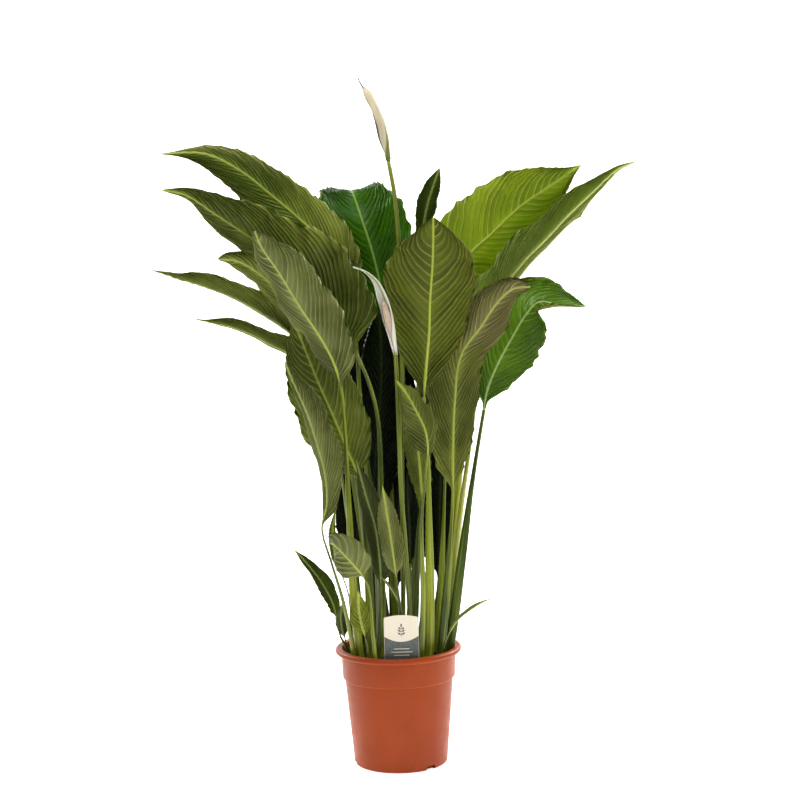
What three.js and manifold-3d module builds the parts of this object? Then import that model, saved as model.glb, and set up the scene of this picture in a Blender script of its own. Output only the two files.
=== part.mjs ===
// A tall peace lily (Spathiphyllum) in a plastic nursery pot.
//
// Millimetres, +Z up. The origin is the middle of the pot's flat underside, and -Y is the front.
// Every leaf is one solid, petiole and blade together: a closed loft along a smooth spine, whose
// section changes from a round stem to a thin, folded and waved sheet. Stems stand in plain holes
// in the soil.

import * as THREE from "three";
import { mergeVertices } from "three/addons/utils/BufferGeometryUtils.js";
import Module from "manifold-3d";

// ---------------------------------------------------------------- driving dimensions

const GAP = 0.3; // between pieces that touch

const POT_HEIGHT = 203;
const POT_BASE_RADIUS = 80;
const POT_WALL = 2;
const POT_FLOOR = 3;
const FOOT_ROUND = 4; // rounding of the bottom edge
const STEP_HEIGHT = 152; // the ledge under the straight collar
const STEP_SLOPE = 3; // height over which the ledge runs out
const STEP_RADIUS = 93;
const COLLAR_RADIUS = 96.4;
const COLLAR_TOP_RADIUS = 98;
const RIM_RADIUS = 108;
const RIM_HEIGHT = 10;
const POT_SIDES = 40;
const NOTCH_WIDTH = 19; // the drainage notches at the foot of the wall
const NOTCH_HEIGHT = 7.5;
const NOTCH_DEPTH = 9;
const NOTCH_COUNT = 3;
const FIRST_NOTCH = -50.5; // degrees from +X

const SOIL_TOP = 185;
const SOIL_RELIEF = 1.6;
const SOIL_CLEARANCE = 0.5; // to the pot's faceted wall
const SOIL_SIDES = 32;
const SOIL_RINGS = [0.72, 0.42, 0.2]; // rings of points in the soil's top, as shares of its radius

const LABEL_WIDTH = 58;
const LABEL_TOP = 272;
const LABEL_ARCH = 3;
const LABEL_SHOULDER = 196; // where the card narrows to its stake
const LABEL_STAKE_WIDTH = 20;
const LABEL_FOOT = 160;
const LABEL_POINT = 8; // height of the stake's point
const LABEL_THICKNESS = 0.8;
const LABEL_CORNER = 4;
const LABEL_NECK = 6; // height over which it narrows
const LABEL_PLACE = { x: 6, y: -86 };

const BLADE_THICKNESS = 1.2;
const TIP_HALF_WIDTH = 1;
const WIDEST = 0.4; // where along the blade a leaf is widest, unless its row says otherwise
const TAIL = 1; // how slowly it narrows to its tip: below 1 it stays broad for longer
const ACROSS = [-1, -0.5, 0, 0.5, 1]; // places across a blade, from edge to edge
const NECK_BLEND = 0.12; // the share of the blade over which the stem flattens
const STEM_STATION = 95; // spacing of the sections along a stem
const BLADE_STATION = 60; // and along a blade, which has BLADE_STATIONS more
const BLADE_STATIONS = 5;
const STEM_RADIUS = 4.8; // at the foot of a full-grown leaf
const STEM_TAPER = 0.55; // radius at the neck over radius at the foot
const SHEATH_BREADTH = 1.8; // the stem's foot is a sheath, this much broader than it is deep
const SHEATH_HOLD = 0.4; // up to this share of the stem,
const SHEATH_SHARE = 0.85; // and round again by this one

const STALK_RADIUS = { foot: 4.4, top: 3.4 };
const STALK_STATION = 110;
const SPADIX_SIDES = 16;
const SPADIX_ROWS = 13; // rows of florets
const SPADIX_RELIEF = 0.13; // depth between the florets, over the spadix's radius
const HOOD_THICKNESS = 0.9;
const HOOD_CLEARANCE = 1.4; // from the spadix
const HOOD_STEPS = 16;
const HOOD_FOOT = 0.36; // radius at its foot over the greatest, before it swells
const HOOD_DRAWN = 0.93; // how much of the radius is gone where it is drawn out

// ---------------------------------------------------------------- the leaves
//
// spine: points from the foot in the soil, through the neck, to the tip of the blade.
// neck: which of those points is the neck. half: greatest half width of the blade.
// face: the way the upper side looks, at the neck and at the tip. fold: how far each half is lifted,
// in degrees. wave: height of the waves along the edge. waves: how many. widest: where along the
// blade it is widest. tail: how it narrows to its tip. stem: radius at the foot. broad: how many
// times as wide as deep the sheath at the foot is.

const FRONT_LEAVES = {
  leaf_04: { spine: [[-62, -30, 162], [-73, -38, 292], [-76, -48, 432], [-79, -60, 586], [-83, -66, 658],
    [-94, -72, 701], [-114, -80, 743], [-146, -92, 796], [-178, -104, 854], [-204, -112, 896],
    [-214, -116, 922]],
    neck: 4, half: 58, face: [[0.5, 0.9, 0.3], [0.4, 0.8, 0.5]], fold: 25, wave: 4, waves: 3,
    widest: 0.5, tail: 0.6 },
  leaf_05: { spine: [[-50, -20, 162], [-47, -22, 289], [-52, -24, 411], [-58, -27, 494], [-77, -31, 546],
    [-97, -32, 599], [-125, -32, 671], [-148, -32, 736], [-166, -32, 785]],
    neck: 3, half: 62, face: [[-0.2, 0.9, 0.1], [-0.1, 0.9, 0.2]], fold: 16, wave: 3, waves: 2.5 },
  leaf_06: { spine: [[-74, -42, 162], [-78, -45, 215], [-91, -54, 296], [-109, -60, 365], [-122, -65, 419],
    [-112, -68, 465], [-115, -72, 521], [-127, -74, 572], [-141, -76, 620], [-161, -78, 669],
    [-176, -80, 709]],
    neck: 4, half: 38, face: [[0.7, 0.6, 0.1], [0.6, 0.7, 0.2]], fold: 33, wave: 3, waves: 3,
    widest: 0.5, stem: 3 },
  leaf_15: { spine: [[50, -35, 162], [56, -40, 289], [57, -42, 409], [58, -44, 525], [54, -46, 630],
    [59, -50, 687], [65, -56, 743], [68, -64, 800], [73, -74, 857], [75, -84, 898], [76, -96, 936]],
    neck: 4, half: 82, face: [[-0.1, 0.9, 0.3], [-0.1, 0.9, 0.4]], fold: 16, wave: 3, waves: 2.5,
    widest: 0.6, tail: 0.8, stem: 5 },
  leaf_16: { spine: [[36, -62, 162], [44, -68, 296], [45, -76, 433], [56, -84, 535], [58, -86, 557],
    [54, -92, 587], [40, -100, 620], [24, -106, 651], [8, -110, 673]],
    neck: 3, half: 30, face: [[-0.4, 0.8, 0.2], [-0.5, 0.8, 0.4]], fold: 25, wave: 2, waves: 2, stem: 3.4 },
  leaf_17: { spine: [[5, -70, 162], [6, -74, 264], [0, -80, 339], [-3, -82, 368], [-8, -86, 411],
    [-14, -90, 458], [-19, -94, 497]],
    neck: 2, half: 21, face: [[0, 0.9, 0.2], [0, 0.9, 0.3]], fold: 15, wave: 1.5, waves: 2, stem: 3 },
  leaf_18: { spine: [[-36, -76, 162], [-42, -82, 250], [-46, -88, 322], [-54, -91, 342], [-67, -94, 360],
    [-81, -95, 377], [-94, -92, 391], [-103, -85, 398], [-108, -76, 397]],
    neck: 3, half: 35, face: [[0.1, 0.9, 0.1], [0.4, 0.6, 0.4]], fold: 14, wave: 1.5, waves: 2, widest: 0.5,
    tail: 0.45, stem: 2.2 },
  leaf_26: { spine: [[-38, -52, 162], [-30, -55, 261], [-26, -57, 316], [-27, -58, 364], [-33, -60, 421],
    [-48, -61, 478], [-62, -60, 536]],
    neck: 2, half: 31, face: [[0.35, 0.9, 0.1], [0.3, 0.9, 0.2]], fold: 34, wave: 3, waves: 2.5, stem: 3 },
};

const LEFT_LEAVES = {
  leaf_01: { spine: [[-30, 26, 162], [-31, 28, 344], [-51, 38, 570], [-67, 50, 794], [-104, 58, 887],
    [-148, 64, 932], [-195, 66, 974], [-246, 62, 1017], [-305, 54, 1048], [-386, 44, 1050]],
    neck: 3, half: 52, face: [[0.5, 0.8, -0.1], [0.3, 0.8, -0.7]], fold: 20, wave: 5, waves: 3.5,
    widest: 0.32, stem: 5 },
  leaf_02: { spine: [[-28, -2, 162], [-25, 0, 388], [-24, 6, 592], [-38, 10, 657], [-58, 13, 707],
    [-86, 17, 778], [-138, 17, 842], [-188, 12, 877], [-234, 6, 910], [-286, 0, 947], [-335, -6, 981],
    [-376, -10, 991]],
    neck: 4, half: 78, face: [[0.6, 0.8, 0.2], [0.3, 0.8, 0.5]], fold: 24, wave: 5, waves: 3.5,
    widest: 0.32, stem: 5 },
  leaf_03: { spine: [[-45, 8, 162], [-49, 6, 354], [-70, 1, 546], [-86, -3, 641], [-117, -9, 719],
    [-165, -20, 792], [-214, -33, 848], [-250, -38, 870], [-282, -38, 874]],
    neck: 3, half: 46, face: [[0.4, 0.8, 0.3], [0.2, 0.8, 0.6]], fold: 22, wave: 4, waves: 3, tail: 0.6 },
  leaf_07: { spine: [[-52, 40, 162], [-48, 45, 275], [-67, 49, 452], [-85, 50, 575], [-107, 49, 666],
    [-150, 45, 723], [-201, 44, 764], [-256, 33, 800], [-323, 15, 830], [-402, 0, 858]],
    neck: 4, half: 55, face: [[0.4, 0.3, 0.8], [0.2, 0.1, 0.9]], fold: 35, wave: 4, waves: 3 },
  leaf_08: { spine: [[-64, 22, 162], [-66, 24, 280], [-83, 24, 440], [-95, 22, 551], [-115, 18, 634],
    [-152, 9, 695], [-203, -1, 727], [-251, -10, 753], [-334, -18, 776]],
    neck: 4, half: 32, face: [[0.4, 0.4, 0.8], [0.2, 0.3, 0.9]], fold: 32, wave: 3, waves: 3, stem: 3 },
  leaf_19: { spine: [[-79, -19, 162], [-87, -21, 203], [-98, -22, 226], [-104, -24, 259],
    [-110, -27, 286], [-127, -31, 322], [-148, -35, 353], [-173, -38, 384]],
    neck: 3, half: 18, face: [[0.3, -0.6, 0.5], [0.5, -0.5, 0.7]], fold: 15, wave: 1.5, waves: 2, stem: 2 },
  leaf_20: { spine: [[-80, 13, 162], [-86, 12, 192], [-92, 10, 217], [-96, 8, 236], [-97, 6, 257],
    [-92, 3, 280]],
    neck: 2, half: 12, face: [[0, 0.9, 0], [0, 0.9, 0]], fold: 25, wave: 0.6, waves: 1, stem: 1.8 },
  leaf_21: { spine: [[-50, -70, 162], [-51, -72, 217], [-55, -74, 238], [-60, -76, 258], [-64, -78, 284],
    [-64, -80, 317]],
    neck: 2, half: 19, face: [[0, 0.9, 0.2], [0, 0.9, 0.3]], fold: 20, wave: 1, waves: 1.5, stem: 2 },
  leaf_28: { spine: [[-76, -8, 162], [-79, -10, 217], [-82, -12, 296], [-91, -14, 326], [-103, -17, 365],
    [-105, -20, 410], [-99, -22, 452]],
    neck: 3, half: 9, face: [[0.3, 0.9, 0], [-0.6, 0.6, 0]], fold: 30, wave: 1.5, waves: 1.5, stem: 2 },
};

const RIGHT_LEAVES = {
  leaf_11: { spine: [[66, 30, 162], [84, 36, 272], [107, 47, 451], [122, 56, 566], [126, 66, 703],
    [116, 73, 806], [138, 78, 862], [179, 84, 900], [226, 90, 942], [273, 94, 973], [336, 96, 1013]],
    neck: 5, half: 79, face: [[-0.2, 0.9, 0.1], [-0.1, 0.9, 0.2]], fold: 15, wave: 3, waves: 3,
    widest: 0.35, stem: 5 },
  leaf_12: { spine: [[76, 14, 162], [92, 17, 238], [109, 24, 399], [133, 36, 551], [152, 52, 671],
    [171, 63, 776], [206, 64, 822], [234, 62, 855], [267, 60, 886], [307, 58, 927], [351, 56, 967],
    [391, 54, 1002], [429, 52, 1018]],
    neck: 4, half: 49, face: [[-0.7, 0.6, 0.4], [-0.4, 0.7, 0.6]], fold: 26, wave: 4, waves: 4,
    widest: 0.36, stem: 5 },
  leaf_13: { spine: [[70, -16, 162], [83, -13, 283], [93, -14, 387], [99, -14, 464], [101, -15, 541],
    [106, -16, 623], [118, -18, 702], [153, -24, 750], [180, -30, 789], [207, -36, 812], [235, -42, 815]],
    neck: 3, half: 51, face: [[-0.3, 0.9, 0.1], [-0.1, 0.9, 0.3]], fold: 18, wave: 3, waves: 3.5,
    widest: 0.52, tail: 0.6 },
  leaf_14: { spine: [[79, -5, 162], [95, -3, 240], [113, 3, 355], [131, 8, 468], [156, 12, 604],
    [164, 15, 641], [183, 18, 684], [206, 20, 724], [230, 22, 762], [252, 20, 784], [282, 10, 782],
    [307, -2, 780], [332, -12, 777]],
    neck: 4, half: 72, face: [[-0.2, -0.9, 0.3], [0.1, -0.1, 0.9]], fold: 14, wave: 4, waves: 3.5,
    widest: 0.54, tail: 0.9, stem: 5.4 },
  leaf_22: { spine: [[70, -45, 162], [77, -48, 209], [86, -50, 232], [102, -52, 256], [123, -54, 273],
    [145, -54, 286], [167, -52, 294]],
    neck: 2, half: 9, face: [[-0.5, 0.3, 0.7], [-0.2, 0.3, 0.9]], fold: 30, wave: 1, waves: 1.5, stem: 1.8 },
};

const INNER_LEAVES = {
  leaf_09: { spine: [[-5, 62, 162], [-7, 66, 339], [-8, 76, 566], [-11, 84, 730], [-15, 94, 816],
    [-28, 108, 876], [-45, 132, 931], [-57, 172, 966], [-64, 222, 977], [-70, 275, 959]],
    neck: 3, half: 77, face: [[-0.1, -0.9, 0.2], [0, 0.3, 0.9]], fold: 14, wave: 5, waves: 3.5,
    widest: 0.5, stem: 5 },
  leaf_10: { spine: [[20, 63, 162], [35, 61, 339], [44, 58, 567], [52, 52, 791], [56, 50, 876],
    [62, 49, 920], [70, 47, 955], [80, 45, 985], [91, 42, 1014]],
    neck: 4, half: 21, face: [[-0.2, -0.9, 0.1], [-0.1, -0.9, 0.1]], fold: 30, wave: 2, waves: 2.5,
    widest: 0.55, tail: 0.8 },
  leaf_23: { spine: [[15, 25, 162], [20, 24, 241], [24, 24, 340], [25, 23, 390], [24, 21, 445],
    [23, 18, 500]],
    neck: 2, half: 21, face: [[0.1, -0.9, 0], [0.1, -0.9, 0]], fold: 22, wave: 1.5, waves: 2, stem: 4 },
  leaf_24: { spine: [[61, 8, 162], [74, 10, 278], [83, 12, 416], [89, 14, 523], [93, 12, 580],
    [91, 10, 649], [87, 8, 717]],
    neck: 3, half: 18, face: [[0, 0.9, 0], [0, 0.9, 0.2]], fold: 35, wave: 2, waves: 2, stem: 3.8 },
  leaf_25: { spine: [[-15, 52, 162], [-26, 57, 272], [-37, 65, 402], [-35, 68, 473], [-27, 70, 552],
    [-19, 73, 629], [-16, 77, 700], [-18, 84, 768]],
    neck: 2, half: 48, face: [[0, -0.9, 0.1], [0, -0.8, 0.4]], fold: 18, wave: 3, waves: 3,
    widest: 0.5, tail: 0.6, stem: 6 },
  leaf_27: { spine: [[2, -56, 162], [3, -60, 226], [2, -62, 292], [-9, -64, 315], [-26, -66, 338]],
    neck: 2, half: 6, face: [[0.5, 0.7, 0.5], [0.5, 0.7, 0.5]], fold: 20, wave: 0.6, waves: 1, stem: 1.8 },
  leaf_29: { spine: [[22, -15, 162], [31, -17, 285], [39, -18, 406], [46, -19, 457], [45, -18, 500],
    [42, -17, 546], [38, -14, 597], [32, -10, 653]],
    neck: 3, half: 25, face: [[0, 0.9, 0], [0, 0.9, 0.2]], fold: 25, wave: 2, waves: 2.5, stem: 4.8 },
};

const BACK_LEAVES = {
  leaf_30: { spine: [[36, 46, 162], [61, 82, 338], [75, 120, 542], [95, 146, 626], [114, 184, 701],
    [129, 225, 741], [145, 280, 739]],
    neck: 2, half: 58, face: [[-0.5, -0.6, 0.5], [-0.2, -0.2, 0.9]], fold: 20, wave: 4, waves: 3,
    widest: 0.3, stem: 5, broad: 2.3 },
  leaf_31: { spine: [[-32, 64, 162], [-35, 76, 337], [-47, 105, 563], [-60, 130, 674], [-77, 170, 754],
    [-97, 220, 797], [-117, 275, 801]],
    neck: 2, half: 48, face: [[0.3, -0.6, 0.5], [0.1, -0.2, 0.9]], fold: 20, wave: 4, waves: 3,
    stem: 5, broad: 2.8 },
  leaf_32: { spine: [[0, 76, 162], [0, 92, 280], [6, 104, 392], [11, 111, 470], [16, 118, 552],
    [18, 124, 632], [20, 148, 704], [20, 184, 752]],
    neck: 1, half: 44, face: [[0, -0.9, 0.1], [0, -0.8, 0.4]], fold: 18, wave: 4, waves: 3, widest: 0.3,
    stem: 5, broad: 2.8 },
  leaf_33: { spine: [[-64, 50, 162], [-67, 62, 305], [-92, 92, 480], [-104, 110, 551], [-122, 150, 612],
    [-138, 196, 639], [-151, 240, 631]],
    neck: 1, half: 40, face: [[0.4, -0.5, 0.6], [0.2, -0.1, 0.9]], fold: 22, wave: 3, waves: 3, widest: 0.3 },
  leaf_34: { spine: [[54, 58, 162], [73, 67, 300], [79, 79, 424], [84, 82, 512], [84, 98, 598],
    [86, 124, 672], [94, 164, 724]],
    neck: 1, half: 38, face: [[-0.2, -0.9, 0.2], [-0.1, -0.7, 0.5]], fold: 20, wave: 3, waves: 3, widest: 0.3,
    broad: 2.2 },
};

// ---------------------------------------------------------------- the blooms
//
// stalk: points from the foot to the base of the hood. axis: from there to the hood's tip. opens: the
// way the hood opens. wrap: how far it reaches round the spadix to each side, in degrees. swell: the
// shares of its length where it is full, where it begins to narrow and where it is drawn out. core:
// length and radius of the spadix.

const BLOOMS = {
  upper_bloom: { stalk: [[8, 10, 162], [12, 8, 350], [15, 2, 541], [20, -8, 746], [19, -12, 884],
    [14, -12, 970], [5, -12, 1030]],
    axis: [[5, -12, 1030], [-3, -12, 1066], [-10, -12, 1096], [-20, -13, 1121], [-31, -14, 1144],
      [-37, -15, 1155], [-42, -16, 1166]],
    opens: [-1, 0.2, 0], wrap: 126, swell: [0.3, 0.76, 0.92], core: 90, coreRadius: 7.6, color: 0xcfc3a0 },
  lower_bloom: { stalk: [[20, -45, 162], [21, -50, 268], [17, -58, 376], [12, -68, 484], [11, -76, 569],
    [10, -84, 650], [9, -90, 712]],
    axis: [[9, -90, 712], [0, -93, 762], [-9, -96, 800], [-21, -99, 833], [-38, -101, 851],
      [-57, -103, 859]],
    opens: [-0.35, -0.9, 0], wrap: 113, swell: [0.4, 0.5, 0.95], core: 90, coreRadius: 7, color: 0xf0efe8 },
};

// ---------------------------------------------------------------- solids

const wasm = await Module();
wasm.setup();

function plastic(color, roughness) {
  return new THREE.MeshStandardMaterial({ color, roughness, metalness: 0 });
}

const LEAF_FINISH = plastic(0x4f5f24, 0.5);
const STALK_FINISH = plastic(0x8fa33a, 0.5);
const SPADIX_FINISH = plastic(0xd9c4a8, 0.8);
const POT_FINISH = plastic(0xa84a25, 0.45);
const SOIL_FINISH = plastic(0x2a1e16, 0.95);
const LABEL_FINISH = plastic(0xe6dcc8, 0.5);

// A geometry as a manifold-3d solid, and back.
function toSolid(geometry) {
  const bare = geometry.clone();
  bare.deleteAttribute("normal");
  bare.deleteAttribute("uv");
  const merged = mergeVertices(bare, 1e-3);
  return new wasm.Manifold(
    new wasm.Mesh({
      numProp: 3,
      vertProperties: new Float32Array(merged.attributes.position.array),
      triVerts: new Uint32Array(merged.index.array),
    }),
  );
}

function toGeometry(solid) {
  const mesh = solid.getMesh();
  return new THREE.BufferGeometry()
    .setAttribute("position", new THREE.BufferAttribute(new Float32Array(mesh.vertProperties), 3))
    .setIndex(new THREE.BufferAttribute(new Uint32Array(mesh.triVerts), 1));
}

// A closed body between two grids of points of one size: upper[i][k] over lower[i][k], with i along
// the piece and k across it. Both faces are split into triangles along the same diagonals.
function closedBetween(upper, lower) {
  const rows = upper.length;
  const columns = upper[0].length;
  const points = [...upper.flat(), ...lower.flat()];
  const up = (i, k) => i * columns + k;
  const low = (i, k) => rows * columns + i * columns + k;
  const faces = [];
  const last = columns - 1;
  for (let i = 0; i < rows - 1; i++) {
    for (let k = 0; k < last; k++) {
      faces.push(up(i, k), up(i, k + 1), up(i + 1, k + 1));
      faces.push(up(i, k), up(i + 1, k + 1), up(i + 1, k));
      faces.push(low(i, k), low(i + 1, k + 1), low(i, k + 1));
      faces.push(low(i, k), low(i + 1, k), low(i + 1, k + 1));
    }
    faces.push(up(i, 0), up(i + 1, 0), low(i + 1, 0));
    faces.push(up(i, 0), low(i + 1, 0), low(i, 0));
    faces.push(up(i, last), low(i + 1, last), up(i + 1, last));
    faces.push(up(i, last), low(i, last), low(i + 1, last));
  }
  const end = rows - 1;
  for (let k = 0; k < last; k++) {
    faces.push(low(0, k), low(0, k + 1), up(0, k + 1));
    faces.push(low(0, k), up(0, k + 1), up(0, k));
    faces.push(low(end, k), up(end, k + 1), low(end, k + 1));
    faces.push(low(end, k), up(end, k), up(end, k + 1));
  }
  return new THREE.BufferGeometry().setFromPoints(points).setIndex(faces);
}

// ---------------------------------------------------------------- spines and sections

const vector = (list) => new THREE.Vector3(...list);

// A smooth curve through the points, with the share of its length at point number "mark".
function spineThrough(list, mark) {
  const curve = new THREE.CatmullRomCurve3(list.map(vector), false, "centripetal");
  const steps = 20;
  curve.arcLengthDivisions = steps * (list.length - 1);
  const lengths = curve.getLengths();
  return { curve, length: lengths.at(-1), mark: lengths[steps * mark] / lengths.at(-1) };
}

// The place, the way along (t), the way the upper side looks (n) and the way to its right (s).
function frameAt(curve, share, face) {
  const t = curve.getTangentAt(share);
  const n = face.clone().addScaledVector(t, -face.dot(t)).normalize();
  return { at: curve.getPointAt(share), t, n, s: t.clone().cross(n) };
}

function pointIn(frame, right, out) {
  return frame.at.clone().addScaledVector(frame.s, right).addScaledVector(frame.n, out);
}

// Half of a stem's section, as seen along it: side is 1 for the upper half and -1 for the lower. It is
// round, or "broad" times as wide as it is deep.
function stemHalf(frame, radius, side, broad = 1) {
  return ACROSS.map((u) => {
    const angle = Math.PI * (0.5 - 0.4 * u);
    return pointIn(frame, broad * radius * Math.cos(angle), side * radius * Math.sin(angle));
  });
}

// Half width of a blade at share s of its length, over its greatest half width. It rises and falls as
// powers; "tail" is the power of the fall.
function outline(s, widest, tail) {
  const rise = (tail * widest) / (1 - widest);
  return Math.pow(s / widest, rise) * Math.pow((1 - s) / (1 - widest), tail);
}

// The upper or lower face of a blade's section at share s: an arc, waved at its edges, with the
// midrib as a ridge under its middle.
function bladeHalf(frame, leaf, s, side) {
  const half = Math.max(leaf.half * outline(s, leaf.widest, leaf.tail), TIP_HALF_WIDTH);
  const fold = THREE.MathUtils.degToRad(leaf.fold) * 2;
  const radius = half / fold;
  const envelope = Math.sin(Math.PI * Math.min(s, 1));
  return ACROSS.map((u) => {
    const turn = u * fold;
    const phase = 2 * Math.PI * leaf.waves * s + (u > 0 ? 2 : 0);
    const wave = leaf.wave * u * u * envelope * Math.sin(phase);
    const rib = side < 0 && u === 0 ? leaf.stem * STEM_TAPER * (1 - s) : 0;
    const out = (side * BLADE_THICKNESS) / 2 - (side < 0 ? rib : 0);
    const right = radius * Math.sin(turn) - out * Math.sin(turn);
    const lift = radius * (1 - Math.cos(turn)) + out * Math.cos(turn) + wave;
    return pointIn(frame, right, lift);
  });
}

function mixRows(a, b, share) {
  return a.map((p, k) => p.clone().lerp(b[k], share));
}

// The sections of a leaf, from foot to tip.
function leafSections(leaf) {
  const { curve, length, mark } = spineThrough(leaf.spine, leaf.neck);
  const neckFace = vector(leaf.face[0]);
  const tipFace = vector(leaf.face[1]);
  const stemSteps = Math.max(2, Math.round((length * mark) / STEM_STATION));
  const bladeSteps = BLADE_STATIONS + Math.round((length * (1 - mark)) / BLADE_STATION);
  const upper = [];
  const lower = [];
  for (let i = 0; i < stemSteps; i++) {
    const share = i / stemSteps;
    const frame = frameAt(curve, mark * share, neckFace);
    const radius = leaf.stem * (1 - (1 - STEM_TAPER) * share);
    const sheath = 1 - THREE.MathUtils.smoothstep(share, SHEATH_HOLD, SHEATH_SHARE);
    const broad = 1 + (leaf.broad - 1) * sheath;
    upper.push(stemHalf(frame, radius, 1, broad));
    lower.push(stemHalf(frame, radius, -1, broad));
  }
  for (let j = 0; j <= bladeSteps; j++) {
    const s = j / bladeSteps;
    const face = neckFace.clone().lerp(tipFace, s);
    const frame = frameAt(curve, mark + (1 - mark) * s, face);
    const flat = THREE.MathUtils.smoothstep(s, 0, NECK_BLEND);
    const radius = leaf.stem * STEM_TAPER;
    upper.push(mixRows(stemHalf(frame, radius, 1), bladeHalf(frame, leaf, s, 1), flat));
    lower.push(mixRows(stemHalf(frame, radius, -1), bladeHalf(frame, leaf, s, -1), flat));
  }
  return { upper, lower };
}

function stalkSections(points) {
  const { curve, length } = spineThrough(points, 0);
  const steps = Math.round(length / STALK_STATION);
  const upper = [];
  const lower = [];
  for (let i = 0; i <= steps; i++) {
    const frame = frameAt(curve, i / steps, new THREE.Vector3(0, 1, 0));
    const radius = THREE.MathUtils.lerp(STALK_RADIUS.foot, STALK_RADIUS.top, i / steps);
    upper.push(stemHalf(frame, radius, 1));
    lower.push(stemHalf(frame, radius, -1));
  }
  return { upper, lower };
}

// The plain hole that a stem stands in: its own first stretch, wider and deeper by the gap.
function stemHole({ upper, lower }) {
  const middleOf = (i) => {
    const sum = new THREE.Vector3();
    [...upper[i], ...lower[i]].forEach((p) => sum.add(p));
    return sum.divideScalar(2 * ACROSS.length);
  };
  const foot = middleOf(0);
  const next = middleOf(1);
  const down = foot.clone().sub(next).normalize().multiplyScalar(GAP);
  const wider = (row, middle, shift) =>
    row.map((p) => {
      const away = p.clone().sub(middle);
      return p.clone().addScaledVector(away.normalize(), GAP * 1.2).add(shift);
    });
  const none = new THREE.Vector3();
  return closedBetween(
    [wider(upper[0], foot, down), wider(upper[1], next, none)],
    [wider(lower[0], foot, down), wider(lower[1], next, none)],
  );
}

// ---------------------------------------------------------------- pot, soil and label

// A profile of [radius, height] pairs turned round the Z axis.
function turned(profile, sides) {
  const points = profile.map(([r, z]) => new THREE.Vector2(r, z));
  return new THREE.LatheGeometry(points, sides).rotateX(Math.PI / 2);
}

// The inside radius of the pot at height z, below and above its ledge.
const LEDGE_FOOT = STEP_HEIGHT - STEP_SLOPE;

function potInside(z) {
  if (z > LEDGE_FOOT) {
    return COLLAR_RADIUS - POT_WALL;
  }
  const share = (z - POT_FLOOR) / (LEDGE_FOOT - POT_FLOOR);
  return THREE.MathUtils.lerp(POT_BASE_RADIUS, STEP_RADIUS, share) - POT_WALL;
}

function makePot() {
  const rimFoot = POT_HEIGHT - RIM_HEIGHT;
  const rimRound = RIM_HEIGHT / 2;
  const inside = COLLAR_TOP_RADIUS - POT_WALL;
  const profile = [[0, 0], [POT_BASE_RADIUS - FOOT_ROUND, 0]];
  profile.push([POT_BASE_RADIUS - 0.3 * FOOT_ROUND, 0.3 * FOOT_ROUND], [POT_BASE_RADIUS, FOOT_ROUND]);
  profile.push([STEP_RADIUS, STEP_HEIGHT - STEP_SLOPE], [COLLAR_RADIUS, STEP_HEIGHT]);
  profile.push([COLLAR_TOP_RADIUS, rimFoot], [RIM_RADIUS - rimRound, rimFoot]);
  for (let i = 0; i <= 4; i++) {
    const angle = Math.PI * (-0.4 + 0.225 * i);
    const middle = RIM_RADIUS - rimRound;
    profile.push([middle + rimRound * Math.cos(angle), rimFoot + rimRound * (1 + Math.sin(angle))]);
  }
  profile.push([inside + POT_WALL, POT_HEIGHT - 0.5 * POT_WALL], [inside, POT_HEIGHT - rimRound]);
  profile.push([potInside(STEP_HEIGHT), STEP_HEIGHT], [potInside(LEDGE_FOOT), LEDGE_FOOT]);
  profile.push([potInside(POT_FLOOR), POT_FLOOR], [0, POT_FLOOR]);
  let pot = toSolid(turned(profile, POT_SIDES));
  for (let i = 0; i < NOTCH_COUNT; i++) {
    const angle = THREE.MathUtils.degToRad(FIRST_NOTCH + (360 / NOTCH_COUNT) * i);
    const cut = new THREE.BoxGeometry(NOTCH_DEPTH * 2, NOTCH_WIDTH, NOTCH_HEIGHT * 2);
    cut.translate(POT_BASE_RADIUS, 0, 0).rotateZ(angle);
    pot = pot.subtract(toSolid(cut));
  }
  return toGeometry(pot);
}

// The soil's uneven top.
function soilRelief(x, y) {
  return SOIL_RELIEF * (Math.sin(x * 0.11 + 1) * Math.cos(y * 0.13) + 0.5 * Math.sin(x * 0.05 - y * 0.23));
}

function makeSoil(holes) {
  const floor = POT_FLOOR + GAP;
  const top = potInside(SOIL_TOP) - SOIL_CLEARANCE;
  const profile = [[0, floor], [potInside(POT_FLOOR) - NOTCH_DEPTH, floor]];
  profile.push([potInside(2 * NOTCH_HEIGHT) - SOIL_CLEARANCE, 2 * NOTCH_HEIGHT]);
  profile.push([potInside(LEDGE_FOOT) - SOIL_CLEARANCE, LEDGE_FOOT]);
  profile.push([top, STEP_HEIGHT + SOIL_CLEARANCE], [top, SOIL_TOP]);
  SOIL_RINGS.forEach((share) => profile.push([top * share, SOIL_TOP]));
  profile.push([0, SOIL_TOP]);
  const body = turned(profile, SOIL_SIDES);
  const places = body.attributes.position;
  for (let i = 0; i < places.count; i++) {
    if (places.getZ(i) > SOIL_TOP - GAP) {
      places.setZ(i, SOIL_TOP + soilRelief(places.getX(i), places.getY(i)));
    }
  }
  return toGeometry(holes.reduce((soil, hole) => soil.subtract(toSolid(hole)), toSolid(body)));
}

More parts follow.
